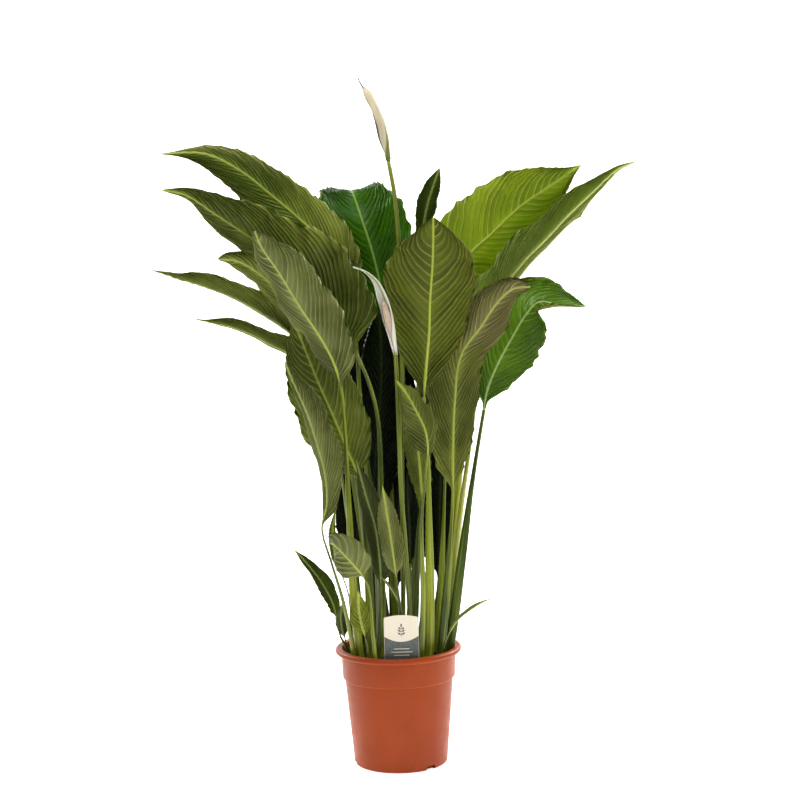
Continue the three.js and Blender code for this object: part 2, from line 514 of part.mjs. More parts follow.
// The card's outline, grown by "more" on every side.
function labelOutline(more) {
  const half = LABEL_WIDTH / 2 + more;
  const stake = LABEL_STAKE_WIDTH / 2 + more;
  const top = LABEL_TOP + more;
  const shape = new THREE.Shape();
  shape.moveTo(0, LABEL_FOOT - more);
  shape.lineTo(stake, LABEL_FOOT + LABEL_POINT);
  shape.lineTo(stake, LABEL_SHOULDER - LABEL_NECK);
  shape.lineTo(half, LABEL_SHOULDER);
  shape.lineTo(half, top - LABEL_CORNER);
  shape.quadraticCurveTo(half, top, half - LABEL_CORNER, top);
  shape.quadraticCurveTo(0, top + 2 * LABEL_ARCH, -half + LABEL_CORNER, top);
  shape.quadraticCurveTo(-half, top, -half, top - LABEL_CORNER);
  shape.lineTo(-half, LABEL_SHOULDER);
  shape.lineTo(-stake, LABEL_SHOULDER - LABEL_NECK);
  shape.lineTo(-stake, LABEL_FOOT + LABEL_POINT);
  return shape;
}

function makeLabel(more) {
  const depth = LABEL_THICKNESS + 2 * more;
  const card = new THREE.ExtrudeGeometry(labelOutline(more), { depth, bevelEnabled: false, curveSegments: 4 });
  return card.translate(0, 0, -depth / 2).rotateX(Math.PI / 2).translate(LABEL_PLACE.x, LABEL_PLACE.y, 0);
}

// ---------------------------------------------------------------- hood and spadix

// The hood's inside radius at share s of its length: it swells from its foot and is drawn to a point.
function hoodRadius(bloom, s) {
  const [full, narrows, drawn] = bloom.swell;
  const rise = HOOD_FOOT + (1 - HOOD_FOOT) * THREE.MathUtils.smoothstep(s, -0.1, full);
  const fall = 1 - HOOD_DRAWN * THREE.MathUtils.smoothstep(s, narrows, drawn);
  return Math.max(1, (bloom.coreRadius + HOOD_CLEARANCE) * rise * fall);
}

// The hood (spathe): a sheet bent round the bloom's axis, open on one side.
function makeHood(bloom) {
  const { curve } = spineThrough(bloom.axis, 0);
  const places = [-1, -0.67, -0.33, 0, 0.33, 0.67, 1];
  const wrap = THREE.MathUtils.degToRad(bloom.wrap);
  const inner = [];
  const outer = [];
  for (let i = 0; i <= HOOD_STEPS; i++) {
    const s = i / HOOD_STEPS;
    const frame = frameAt(curve, s, vector(bloom.opens));
    const radius = hoodRadius(bloom, s);
    const ring = (r) =>
      places.map((u) => pointIn(frame, r * Math.sin(u * wrap), -r * Math.cos(u * wrap)));
    inner.push(ring(radius));
    outer.push(ring(radius + HOOD_THICKNESS));
  }
  return closedBetween(inner, outer);
}

// The spadix: a blunt finger, blunt at both ends, whose florets stand out in slanting rows.
function makeSpadix(bloom) {
  const { curve, length } = spineThrough(bloom.axis, 0);
  const start = (2 * GAP) / length;
  const end = bloom.core / length;
  const rings = 2 * SPADIX_ROWS;
  const points = [];
  const faces = [];
  for (let i = 0; i <= rings; i++) {
    const s = i / rings;
    const share = THREE.MathUtils.lerp(start, end, s);
    const frame = frameAt(curve, share, vector(bloom.opens));
    const blunt = bloom.coreRadius * Math.pow(Math.sin(Math.PI * (0.16 + 0.8 * s)), 0.4);
    const body = Math.min(blunt, hoodRadius(bloom, share) - HOOD_CLEARANCE);
    for (let j = 0; j < SPADIX_SIDES; j++) {
      const angle = (2 * Math.PI * j) / SPADIX_SIDES;
      const radius = (i + j) % 2 === 0 ? body : body * (1 - SPADIX_RELIEF);
      points.push(pointIn(frame, radius * Math.cos(angle), radius * Math.sin(angle)));
    }
  }
  const at = (i, j) => i * SPADIX_SIDES + (j % SPADIX_SIDES);
  for (let i = 0; i < rings; i++) {
    for (let j = 0; j < SPADIX_SIDES; j++) {
      faces.push(at(i, j), at(i + 1, j), at(i + 1, j + 1));
      faces.push(at(i, j), at(i + 1, j + 1), at(i, j + 1));
    }
  }
  for (let j = 1; j < SPADIX_SIDES - 1; j++) {
    faces.push(at(0, 0), at(0, j), at(0, j + 1));
    faces.push(at(rings, 0), at(rings, j + 1), at(rings, j));
  }
  return new THREE.BufferGeometry().setFromPoints(points).setIndex(faces);
}

// ---------------------------------------------------------------- assembly

const plant = new THREE.Group();
const holes = [];

function addPiece(group, name, geometry, finish) {
  const mesh = new THREE.Mesh(geometry, finish.clone());
  mesh.name = name;
  group.add(mesh);
}

const foliage = new THREE.Group();
for (const table of [FRONT_LEAVES, LEFT_LEAVES, RIGHT_LEAVES, INNER_LEAVES, BACK_LEAVES]) {
  for (const [name, row] of Object.entries(table)) {
    const usual = { widest: WIDEST, tail: TAIL, stem: STEM_RADIUS, broad: SHEATH_BREADTH };
    const sections = leafSections({ ...usual, ...row });
    addPiece(foliage, name, closedBetween(sections.upper, sections.lower), LEAF_FINISH);
    holes.push(stemHole(sections));
  }
}

const blooms = new THREE.Group();
for (const [name, bloom] of Object.entries(BLOOMS)) {
  const sections = stalkSections(bloom.stalk);
  addPiece(blooms, name + "_stalk", closedBetween(sections.upper, sections.lower), STALK_FINISH);
  addPiece(blooms, name + "_spathe", makeHood(bloom), plastic(bloom.color, 0.6));
  addPiece(blooms, name + "_spadix", makeSpadix(bloom), SPADIX_FINISH);
  holes.push(stemHole(sections));
}

holes.push(makeLabel(GAP));
plant.add(foliage, blooms);
addPiece(plant, "pot", makePot(), POT_FINISH);
addPiece(plant, "soil", makeSoil(holes), SOIL_FINISH);
addPiece(plant, "plant_label", makeLabel(0), LABEL_FINISH);

export default plant;
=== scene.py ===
# %% [markdown]
# # A potted peace lily
#
# This lesson dresses a plant that already exists as plain solids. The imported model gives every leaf,
# stalk, flower, the pot, the soil and the label in their places, in metres, with +Z up and the front
# towards -Y. Each soft or coarse solid is replaced by a finer piece that keeps its form: leaves get
# their pleats, ribs and ruffled edges, flowers get their florets, and the soil gets its crumbs.

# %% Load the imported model
import math

import bmesh
import bpy
import numpy as np
from mathutils import Matrix, Vector


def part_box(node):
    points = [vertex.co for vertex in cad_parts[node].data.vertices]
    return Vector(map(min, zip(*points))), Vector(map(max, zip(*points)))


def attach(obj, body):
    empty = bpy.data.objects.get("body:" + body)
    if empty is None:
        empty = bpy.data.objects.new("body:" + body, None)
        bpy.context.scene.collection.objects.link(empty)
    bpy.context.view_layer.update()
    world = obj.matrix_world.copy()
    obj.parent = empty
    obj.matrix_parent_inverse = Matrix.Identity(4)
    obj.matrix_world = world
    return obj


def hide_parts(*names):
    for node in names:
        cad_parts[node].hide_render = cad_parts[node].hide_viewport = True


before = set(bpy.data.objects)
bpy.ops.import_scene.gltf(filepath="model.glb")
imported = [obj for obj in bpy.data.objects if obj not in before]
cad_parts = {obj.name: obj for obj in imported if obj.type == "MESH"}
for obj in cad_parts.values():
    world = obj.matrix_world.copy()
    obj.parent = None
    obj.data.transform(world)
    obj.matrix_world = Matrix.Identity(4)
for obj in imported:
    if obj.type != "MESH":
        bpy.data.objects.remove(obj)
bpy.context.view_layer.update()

print("pieces in the frame:", len(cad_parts))

# %% [markdown]
# ## Two small helpers
#
# Node trees are long to write by hand, so one function adds any node, sets its properties and fills or
# links its inputs. Colours are written as the hex values a painter would pick from a screen, and one
# function turns them to the linear values that the shader expects.

# %% Nodes and colours
def add(tree, kind, inputs=None, **settings):
    """Adds a node, sets its properties, and fills each input with a value or a link."""
    node = tree.nodes.new(kind)
    for name, value in settings.items():
        setattr(node, name, value)
    for key, value in (inputs or {}).items():
        if isinstance(value, bpy.types.NodeSocket):
            tree.links.new(value, node.inputs[key])
        else:
            node.inputs[key].default_value = value
    return node


def linear(code):
    """An sRGB hex colour as linear RGBA."""
    parts = [int(code[i : i + 2], 16) / 255 for i in (1, 3, 5)]
    return [c / 12.92 if c <= 0.04045 else ((c + 0.055) / 1.055) ** 2.4 for c in parts] + [1.0]


print("leaf green, linear:", [round(c, 3) for c in linear("#5c6640")])

# %% [markdown]
# ## The camera
#
# The picture to match was taken from the front with a long lens, a little above the plant's middle and
# looking slightly down, with a small roll. A Blender camera looks along its own -Z, so its matrix is
# built from the three directions that are easy to name: right, up, and back.

# %% Camera
CAMERA_PLACE = Vector((0.014, -3.5, 1.05))
PITCH = math.radians(6.9)
ROLL = math.radians(1.5)
SENSOR = 36.0
FOCAL_PIXELS = 2085  # focal length in pixels of the square frame
FRAME_PIXELS = 800

forward = Vector((0, math.cos(PITCH), -math.sin(PITCH)))
level_up = Vector((0, math.sin(PITCH), math.cos(PITCH)))
right = Vector((1, 0, 0)) * math.cos(ROLL) - level_up * math.sin(ROLL)
up = Vector((1, 0, 0)) * math.sin(ROLL) + level_up * math.cos(ROLL)

lens = bpy.data.cameras.new("camera")
lens.sensor_width = SENSOR
lens.lens = FOCAL_PIXELS / FRAME_PIXELS * SENSOR
camera = bpy.data.objects.new("camera", lens)
camera.matrix_world = Matrix.Translation(CAMERA_PLACE) @ Matrix((right, up, -forward)).transposed().to_4x4()
bpy.context.scene.collection.objects.link(camera)
bpy.context.scene.camera = camera
print("lens in mm:", round(lens.lens, 1))

# %% [markdown]
# ## Floor and light
#
# A plain sweep of pale paper runs under the plant and up behind it, so no horizon shows. The light is
# that of a product studio: a bright surround, one large soft lamp at the front right, a weaker one at
# the left, one from above, and two behind, which shine through the thin leaves and make them glow.

# %% Floor and lamps
SWEEP_FRONT = -3.0
SWEEP_BACK = 3.4
SWEEP_RISE = 3.6
SWEEP_ROUND = 1.4  # radius of its bend
SWEEP_STEPS = 16  # along the bend
SWEEP_HALF_WIDTH = 5.0


def join_scene(name, mesh):
    """Puts a mesh into the scene as an object at the origin."""
    made = bpy.data.objects.new(name, mesh)
    bpy.context.scene.collection.objects.link(made)
    return made


def make_sweep():
    """The paper as one strip: its side view, as y and z, carried across in x."""
    side = [(SWEEP_FRONT, 0.0)]
    for i in range(SWEEP_STEPS + 1):
        angle = math.pi / 2 * i / SWEEP_STEPS
        y = SWEEP_BACK - SWEEP_ROUND + SWEEP_ROUND * math.sin(angle)
        side.append((y, SWEEP_ROUND * (1 - math.cos(angle))))
    side.append((SWEEP_BACK, SWEEP_RISE))
    points = [(x, y, z) for y, z in side for x in (-SWEEP_HALF_WIDTH, SWEEP_HALF_WIDTH)]
    faces = [(2 * i, 2 * i + 1, 2 * i + 3, 2 * i + 2) for i in range(len(side) - 1)]
    mesh = bpy.data.meshes.new("paper_sweep")
    mesh.from_pydata(points, [], faces)
    mesh.shade_smooth()
    return join_scene("paper_sweep", mesh)


sweep = make_sweep()

# Places and sizes in metres, power in watts.
LAMPS = {
    "key": {"place": (2.3, -2.3, 1.7), "size": 1.2, "power": 33, "color": "#fff8ee"},
    "fill": {"place": (-1.9, -2.6, 2.5), "size": 0.8, "power": 20, "color": "#f2f6ff"},
    "top": {"place": (-0.2, -0.4, 3.0), "size": 1.6, "power": 52, "color": "#ffffff"},
    "back_right": {"place": (1.9, 2.0, 1.9), "size": 1.3, "power": 110, "color": "#fffdf4"},
    "back_left": {"place": (-2.0, 2.0, 1.9), "size": 1.3, "power": 80, "color": "#fffdf4"},
}
AIM = Vector((0, 0, 0.7))
SURROUND = 0.1  # strength of the white light from all round

for name, lamp in LAMPS.items():
    data = bpy.data.lights.new(name, "AREA")
    data.size = lamp["size"]
    data.energy = lamp["power"]
    data.color = linear(lamp["color"])[:3]
    made = bpy.data.objects.new(name, data)
    made.location = lamp["place"]
    made.rotation_euler = (AIM - made.location).to_track_quat("-Z", "Y").to_euler()
    made.visible_camera = False
    bpy.context.scene.collection.objects.link(made)

world = bpy.data.worlds.new("studio")
world.use_nodes = True
world.node_tree.nodes["Background"].inputs["Color"].default_value = linear("#ffffff")
world.node_tree.nodes["Background"].inputs["Strength"].default_value = SURROUND
bpy.context.scene.world = world
bpy.context.scene.view_settings.view_transform = "Standard"
print("lamps:", ", ".join(LAMPS))

# %% [markdown]
# ## Materials
#
# Every finish is built from nodes on the Principled shader. Patterns that run along a leaf or a stem
# read the piece's own UV map, which holds true distances in metres: x across, from the midrib, and y
# along the side veins, counted so that each pleat is PLEAT wide. Everything else reads Object
# coordinates, which are metres too.

# %% Start a material
MM = 0.001
PLEAT = 13.0 * MM  # along the midrib, from one side vein of a full-grown leaf to the next


def start_material(name, **constants):
    """A material with a Principled shader, whose constant inputs are set on its own sockets."""
    material = bpy.data.materials.new(name)
    material.use_nodes = True
    tree = material.node_tree
    tree.nodes.clear()
    shader = add(tree, "ShaderNodeBsdfPrincipled", constants)
    output = add(tree, "ShaderNodeOutputMaterial")
    tree.links.new(shader.outputs[0], output.inputs["Surface"])
    return material, tree, shader, output


def map_value(tree, value, low, high, to_low=0.0, to_high=1.0):
    """Eases a value from one range to another and returns the socket."""
    limits = {"Value": value, "From Min": low, "From Max": high, "To Min": to_low, "To Max": to_high}
    return add(tree, "ShaderNodeMapRange", limits, interpolation_type="SMOOTHSTEP").outputs["Result"]


def mix_colors(tree, share, first, second):
    """Mixes two colours, each a hex code or a socket, and returns the socket."""
    pair = [linear(c) if isinstance(c, str) else c for c in (first, second)]
    made = add(tree, "ShaderNodeMix", {0: share, 6: pair[0], 7: pair[1]}, data_type="RGBA")
    return made.outputs[2]


def math_node(tree, operation, first, second=0.0):
    """One sum on one or two values."""
    return add(tree, "ShaderNodeMath", {0: first, 1: second}, operation=operation).outputs[0]


def noise(tree, place, scale=1.0, detail=2.0):
    """Soft noise, mostly between 0.3 and 0.7. On Object coordinates its scale is in bumps a metre."""
    settings = {"Vector": place, "Scale": scale, "Detail": detail}
    return add(tree, "ShaderNodeTexNoise", settings).outputs["Fac"]


def stretch(tree, place, *scale):
    """Coordinates scaled apart, so that noise on them runs in streaks."""
    return add(tree, "ShaderNodeMapping", {"Vector": place, "Scale": scale}).outputs[0]


def object_place(tree):
    """Object coordinates, in metres."""
    return add(tree, "ShaderNodeTexCoord").outputs["Object"]


def uv_place(tree, name):
    """A UV map's point, and its x and its y."""
    place = add(tree, "ShaderNodeUVMap", uv_map=name).outputs["UV"]
    split = add(tree, "ShaderNodeSeparateXYZ", {0: place})
    return place, split.outputs["X"], split.outputs["Y"]


def set_relief(tree, shader, height, strength, depth):
    """Bump on the shader, from a height. Returns the bumped normal."""
    settings = {"Height": height, "Strength": strength, "Distance": depth}
    normal = add(tree, "ShaderNodeBump", settings).outputs["Normal"]
    tree.links.new(normal, shader.inputs["Normal"])
    return normal


def let_through(tree, shader, output, share, **light):
    """Lets a share of the light that falls on the far side come through."""
    through = add(tree, "ShaderNodeBsdfTranslucent", light)
    both = add(tree, "ShaderNodeMixShader", {0: share, 1: shader.outputs[0], 2: through.outputs[0]})
    tree.links.new(both.outputs[0], output.inputs["Surface"])


# %% [markdown]
# ### Leaf blade, upper side and underside
#
# A peace lily's leaf is glossy and deep green above, and paler, more olive and more matt below, where the
# midrib and side veins stand out in yellow green. The blade is thin, so part of the light that falls on
# its far side comes through as a warm yellow green. A Translucent shader mixed into the Principled one
# gives that. Vein lines come from the UV map: its y counts pleats, so a triangle wave of it is zero on
# each vein. No two veins are alike: white noise of the vein's number makes some clear and some faint, and
# white noise of the pleat's number paints shade on some pleats, darker than their neighbours, for pleats
# turned away from the light. Broad noise patches of the blade and shade colours are painted light and
# shade too. A second UV map holds shares of the blade, across and along,
# for the pale margin and the dry tip.

# %% Leaf material
FINE_VEINS = 4.0  # in each pleat
DRY_TIP = "#2e2b17"


def chance_of(tree, number, side):
    """The same chance from 0 to 1 all along one vein or pleat of one side."""
    key = add(tree, "ShaderNodeCombineXYZ", {0: number, 1: side, 2: 0.5}).outputs[0]
    return add(tree, "ShaderNodeTexWhiteNoise", {"Vector": key}, noise_dimensions="3D").outputs["Value"]


def leaf_finish(name, blade, shade, vein, rib, glow, glow_share, roughness, vein_share,
                specular=0.3, aged=None):
    """One side of a blade. glow colours the light let through, shade the painted shade, aged the outer end.
    """
    material, tree, shader, output = start_material(name, **{"IOR": 1.40, "Specular IOR Level": specular})
    _, x, y = uv_place(tree, "leaf")
    _, share_across, share_along = uv_place(tree, "shares")
    across = math_node(tree, "ABSOLUTE", x)
    margin = math_node(tree, "ABSOLUTE", share_across)
    side = math_node(tree, "SIGN", x)
    pleats = math_node(tree, "DIVIDE", y, PLEAT)
    near_vein = math_node(tree, "PINGPONG", pleats, 0.5)
    near_fine = math_node(tree, "PINGPONG", math_node(tree, "MULTIPLY", pleats, FINE_VEINS), 0.5)
    vein_chance = chance_of(tree, math_node(tree, "ROUND", pleats), side)
    pleat_shade_chance = chance_of(tree, math_node(tree, "FLOOR", pleats), side)
    here = object_place(tree)
    light_and_shade_patches = noise(tree, here, 9.0, 3.0)
    specks = noise(tree, here, 120.0)

    # Painted light and shade: broad noise patches of the blade colour and the shade colour.
    green = mix_colors(tree, map_value(tree, light_and_shade_patches, 0.4, 0.64), blade, shade)
    # Painted shade: some pleats, chosen at random, are darkened towards the shade colour, for pleats turned
    # from the light.
    green = mix_colors(tree, map_value(tree, pleat_shade_chance, 0.1, 1.0, 0.0, 0.6), green, shade)
    green = mix_colors(tree, map_value(tree, near_fine, 0.0, 0.5, 0.2, 0.0), green, vein)
    clear = map_value(tree, vein_chance, 0.0, 1.0, 0.15 * vein_share, vein_share)
    line = math_node(tree, "MULTIPLY", map_value(tree, near_vein, 0.0, 0.12, 1.0, 0.0), clear)
    if aged:
        green = mix_colors(tree, map_value(tree, share_along, 0.56, 0.7, 0.0, 0.85), green, aged)
    green = mix_colors(tree, line, green, vein)
    green = mix_colors(tree, map_value(tree, margin, 0.955, 1.0, 0.0, 0.5), green, vein)
    green = mix_colors(tree, map_value(tree, share_along, 0.95, 1.0, 0.0, 0.8), green, DRY_TIP)
    green = mix_colors(tree, map_value(tree, across, 1.0 * MM, 2.6 * MM, 0.9, 0.0), green, rib)
    tree.links.new(green, shader.inputs["Base Color"])

    sheen = map_value(tree, specks, 0.3, 0.7, roughness - 0.05, roughness + 0.08)
    tree.links.new(sheen, shader.inputs["Roughness"])
    normal = set_relief(tree, shader, math_node(tree, "ADD", near_fine, specks), 0.35, 0.2 * MM)
    light = mix_colors(tree, map_value(tree, pleat_shade_chance, 0.0, 1.0, 0.0, 0.3), glow, blade)
    light = mix_colors(tree, map_value(tree, near_vein, 0.0, 0.2, 0.5, 0.0), light, vein)
    let_through(tree, shader, output, glow_share, Color=light, Normal=normal)
    return material


# %% [markdown]
# The leaves of one plant differ with age and with the light they get. The table gives each finish its
# colours: olive, shaded, greyish and ageing undersides; a warmer one brightened with painted light; a
# bright yellow-green one for leaves lit from behind, whose light through the blade is real and whose
# brighter colour is painted light; and the palest, painted lighter still. Upper sides are deep green,
# olive, or bright with painted highlights on veins and midrib. Leaves deep among the stems, where the
# shade falls, take nearly black finishes of painted shade.

# %% Leaf finishes
LEAF_FINISHES = {
    "under_olive": dict(blade="#737c26", shade="#3a430a", vein="#bcc068", rib="#bac648", glow="#a8ba0f",
                        glow_share=0.27, roughness=0.38, vein_share=0.9),
    "under_shaded": dict(blade="#646e18", shade="#343d06", vein="#b2b65c", rib="#bac648", glow="#a0b20c",
                         glow_share=0.25, roughness=0.40, vein_share=0.9, specular=0.2),
    # Painted light: a brighter, warmer copy of the olive underside, for leaves at the left that the key lamp
    # lights less.
    "under_painted_light": dict(blade="#8a9134", shade="#4c5610", vein="#c4c872", rib="#c4ce58", glow="#b6c614",
                       glow_share=0.32, roughness=0.36, vein_share=0.9),
    "under_grey": dict(blade="#7e8448", shade="#4e5622", vein="#b5b874", rib="#b4be55", glow="#98a81c",
                       glow_share=0.16, roughness=0.36, vein_share=0.9),
    # Painted light: a bright yellow-green underside for leaves lit from behind. The light let through the
    # blade is real; the brighter base colour is painted light.
    "under_painted_backlight": dict(blade="#92951e", shade="#5f6a08", vein="#e2ea7c", rib="#e8f080", glow="#e6e214",
                        glow_share=0.5, roughness=0.38, vein_share=0.9),
    # Painted light: the palest underside, brightened for a leaf that faces up into the light.
    "under_painted_strong_light": dict(blade="#b4bc68", shade="#7c8830", vein="#dae09c", rib="#eef4b0", glow="#d4e220",
                        glow_share=0.55, roughness=0.34, vein_share=0.9),
    "under_aging": dict(blade="#858c38", shade="#4a5414", vein="#c0c074", rib="#c8c468", glow="#b0bc14",
                        glow_share=0.26, roughness=0.38, vein_share=0.9, aged="#7d764c"),
    # Painted shade: a nearly black underside for leaves deep among the stems, where the shade falls.
    "under_painted_shade": dict(blade="#2b3310", shade="#161d07", vein="#414b1b", rib="#55622a", glow="#4a5c10",
                       glow_share=0.1, roughness=0.42, vein_share=0.5),
    "under_dull": dict(blade="#535b2e", shade="#333b16", vein="#6f7644", rib="#828e4a", glow="#5c6c10",
                       glow_share=0.14, roughness=0.36, vein_share=0.6),
    # Painted highlight: pale veins and midrib stand for the white highlights that the glossy upper side shows
    # along them.
    "upper_painted_highlight": dict(blade="#567f0a", shade="#2d5202", vein="#aac85c", rib="#c4dc8c", glow="#8cbc00",
                         glow_share=0.28, roughness=0.2, vein_share=0.7, specular=0.4),
    "upper_green": dict(blade="#2f5a08", shade="#122f02", vein="#5a861f", rib="#8aa84e", glow="#4f8a00",
                        glow_share=0.28, roughness=0.26, vein_share=0.5, specular=0.16),
    "upper_olive": dict(blade="#49581a", shade="#2a360c", vein="#7a8a3a", rib="#9cac58", glow="#6c8a08",
                        glow_share=0.2, roughness=0.3, vein_share=0.5, specular=0.2),
    # Painted shade: a nearly black upper side for leaves deep among the stems, where the shade falls.
    "upper_painted_shade": dict(blade="#0e1a04", shade="#070e02", vein="#1a2a09", rib="#2a3b10", glow="#33440c",
                       glow_share=0.08, roughness=0.36, vein_share=0.4),
}
finishes = {name: leaf_finish("leaf_" + name, **look) for name, look in LEAF_FINISHES.items()}
print("leaf finishes:", ", ".join(finishes))

# %% [markdown]
# ### Stems, spathes and spadices
#
# Stems are smooth and waxy, yellow green with darker stretches, and streaked along their length, partly by
# the bundles of fibres under the skin and partly by painted shade and painted highlights that stand for the
# shaded and lit sides of each stem. Stems at the back are darker still, with painted shade. The spathe is a
# modified leaf: thin, satin, almost white when it is young and cream when it is old, with a green base and
# spine. The spadix is a finger of tightly packed matt florets, beige at first and brown with age.

# %% Stem material
STEM_GLOW = "#b2bf3a"
STEM_GLOW_SHARE = 0.06


def stem_finish(name, bright, deep, dark, rib):
    """Two greens in broad stretches, streaks of painted shade and painted highlight, and a midrib colour
    where the stem runs up a blade.
    """
    material, tree, shader, output = start_material(name, **{"IOR": 1.40, "Roughness": 0.36})
    place, _, _ = uv_place(tree, "leaf")
    _, _, share_along = uv_place(tree, "shares")
    streaks = noise(tree, stretch(tree, place, 320.0, 5.0, 1.0))
    stretches = noise(tree, stretch(tree, object_place(tree), 38.0, 38.0, 2.5), detail=1.0)
    green = mix_colors(tree, map_value(tree, stretches, 0.36, 0.64), bright, deep)
    # Painted shade: dark streaks along the stem, for its shaded side.
    green = mix_colors(tree, map_value(tree, streaks, 0.48, 0.66, 0.0, 0.85), green, dark)
    # Painted highlight: pale streaks in the midrib colour, for its lit side.
    green = mix_colors(tree, map_value(tree, streaks, 0.3, 0.44, 0.6, 0.0), green, rib)
    green = mix_colors(tree, map_value(tree, share_along, 0.0, 0.08, 0.0, 0.85), green, rib)
    tree.links.new(green, shader.inputs["Base Color"])
    set_relief(tree, shader, streaks, 0.3, 0.3 * MM)
    let_through(tree, shader, output, STEM_GLOW_SHARE, Color=linear(STEM_GLOW))
    return material


STEM_FINISHES = {
    "stem_green": dict(bright="#828f2a", deep="#47591a", dark="#223208", rib="#aab64a"),
    "stem_yellow": dict(bright="#a6ae30", deep="#7a881e", dark="#4a590e", rib="#b6c24c"),
    "stem_cream": dict(bright="#cfd07a", deep="#a9b045", dark="#7f8b2a", rib="#d8de84"),
    # Painted shade: a darker stem finish for stems at the back, where the shade falls.
    "stem_painted_shade": dict(bright="#55671e", deep="#3a4c12", dark="#222f08", rib="#88a04c"),
}
finishes |= {name: stem_finish("leaf_" + name, **look) for name, look in STEM_FINISHES.items()}
bloom_stalk = stem_finish("bloom_stalk", bright="#98a032", deep="#6f7c22", dark="#435212", rib="#98a032")
print("stem finishes:", ", ".join(STEM_FINISHES))

# %% Spathe and spadix materials
def spathe_finish(name, pale, aged, green, tip, strip):
    """The UV map's x runs across from the spine, and y along, from 0 at the base to 1 at the tip.

    strip is how far the green reaches from the spine at the base. It narrows up the hood's back."""
    material, tree, shader, output = start_material(name, **{"IOR": 1.40, "Roughness": 0.5})
    place, x, along = uv_place(tree, "leaf")
    veins = noise(tree, stretch(tree, place, 900.0, 4.0, 1.0))
    color = mix_colors(tree, map_value(tree, veins, 0.4, 0.7, 0.0, 0.8), pale, aged)
    reach = map_value(tree, along, 0.05, 0.62, strip, 1.6 * MM)
    share = math_node(tree, "DIVIDE", math_node(tree, "ABSOLUTE", x), reach)
    color = mix_colors(tree, map_value(tree, share, 0.72, 1.0, 0.9, 0.0), color, green)
    color = mix_colors(tree, map_value(tree, along, 0.0, 0.07, 1.0, 0.0), color, green)
    color = mix_colors(tree, map_value(tree, along, 0.84, 0.92), color, tip)
    tree.links.new(color, shader.inputs["Base Color"])
    set_relief(tree, shader, veins, 0.4, 0.3 * MM)
    let_through(tree, shader, output, 0.25, Color=color)
    return material


def spadix_finish(name, pale, deep, aged):
    """Living florets: matt, mottled by noise about a floret across between a pale and a deeper tone, and
    browner where they have aged.
    """
    material, tree, shader, output = start_material(name, **{"IOR": 1.45})
    here = object_place(tree)
    florets = noise(tree, here, 420.0)
    color = mix_colors(tree, map_value(tree, florets, 0.35, 0.65), pale, deep)
    color = mix_colors(tree, map_value(tree, noise(tree, here, 60.0), 0.5, 0.7, 0.0, 0.5), color, aged)
    tree.links.new(color, shader.inputs["Base Color"])
    tree.links.new(map_value(tree, florets, 0.3, 0.7, 0.6, 0.8), shader.inputs["Roughness"])
    set_relief(tree, shader, florets, 0.4, 0.2 * MM)
    return material


# Spathe and florets of each bloom: the upper one has aged, the lower one is fresh.
BLOOM_FINISH = {
    "upper_bloom": (
        spathe_finish("aged_spathe", pale="#ece2c6", aged="#d2c4a2", green="#74861c", tip="#55564a",
                      strip=9.5 * MM),
        spadix_finish("aged_florets", pale="#6a5840", deep="#40352a", aged="#2a221c"),
    ),
    "lower_bloom": (
        spathe_finish("white_spathe", pale="#f8f7f1", aged="#e6e6d6", green="#a9b04a", tip="#f0f2e4",
                      strip=4 * MM),
        spadix_finish("fresh_florets", pale="#e2cdb4", deep="#d0b8a0", aged="#b59c80"),
    ),
}
print("bloom finishes:", ", ".join(BLOOM_FINISH))

# %% [markdown]
# ### Pot, peat and label
#
# The pot is injection-moulded polypropylene in a terracotta colour: satin, with a very fine grain from
# the mould and slightly uneven pigment. Peat soil is dark brown, rough and damp, with paler fibres. The
# label is coated card, smooth and a little glossy, printed in flat colours.

# %% Pot, soil and label materials
def pot_finish():
    """The plastic's grain is 0.7 mm, its scuffs 14 mm and the swirls of its pigment 11 cm across."""
    settings = {"IOR": 1.46, "Specular IOR Level": 0.2}
    material, tree, shader, output = start_material("moulded_polypropylene", **settings)
    here = object_place(tree)
    pigment = noise(tree, here, 9.0, 4.0)
    scuffs = noise(tree, here, 70.0, 5.0)
    color = mix_colors(tree, map_value(tree, pigment, 0.35, 0.65), "#983d10", "#8d370d")
    color = mix_colors(tree, map_value(tree, scuffs, 0.62, 0.8, 0.0, 0.25), color, "#a84f24")
    tree.links.new(color, shader.inputs["Base Color"])
    tree.links.new(map_value(tree, scuffs, 0.3, 0.75, 0.38, 0.5), shader.inputs["Roughness"])
    set_relief(tree, shader, noise(tree, here, 1400.0), 0.12, 0.1 * MM)
    return material


def peat_finish(name, dark, brown, pale):
    """Crumbs of two tones with paler fibres, damp in places."""
    material, tree, shader, output = start_material(name, **{"IOR": 1.4})
    here = object_place(tree)
    crumbs = noise(tree, here, 160.0, 5.0)
    fibres = noise(tree, here, 45.0, 3.0)
    color = mix_colors(tree, map_value(tree, crumbs, 0.35, 0.65), dark, brown)
    color = mix_colors(tree, map_value(tree, fibres, 0.6, 0.75, 0.0, 0.5), color, pale)
    tree.links.new(color, shader.inputs["Base Color"])
    tree.links.new(map_value(tree, fibres, 0.3, 0.7, 0.7, 0.95), shader.inputs["Roughness"])
    set_relief(tree, shader, crumbs, 0.8, 1.0 * MM)
    return material


def card_finish(name, ink):
    """Flat ink on coated card, with the paper's fibres just showing."""
    settings = {"IOR": 1.5, "Coat Weight": 0.1, "Coat Roughness": 0.3}
    material, tree, shader, output = start_material(name, **settings)
    paper = noise(tree, object_place(tree), 900.0, 3.0)
    color = mix_colors(tree, map_value(tree, paper, 0.3, 0.7, 0.0, 0.12), ink, "#ffffff")
    tree.links.new(color, shader.inputs["Base Color"])
    tree.links.new(map_value(tree, paper, 0.3, 0.7, 0.4, 0.5), shader.inputs["Roughness"])
    return material


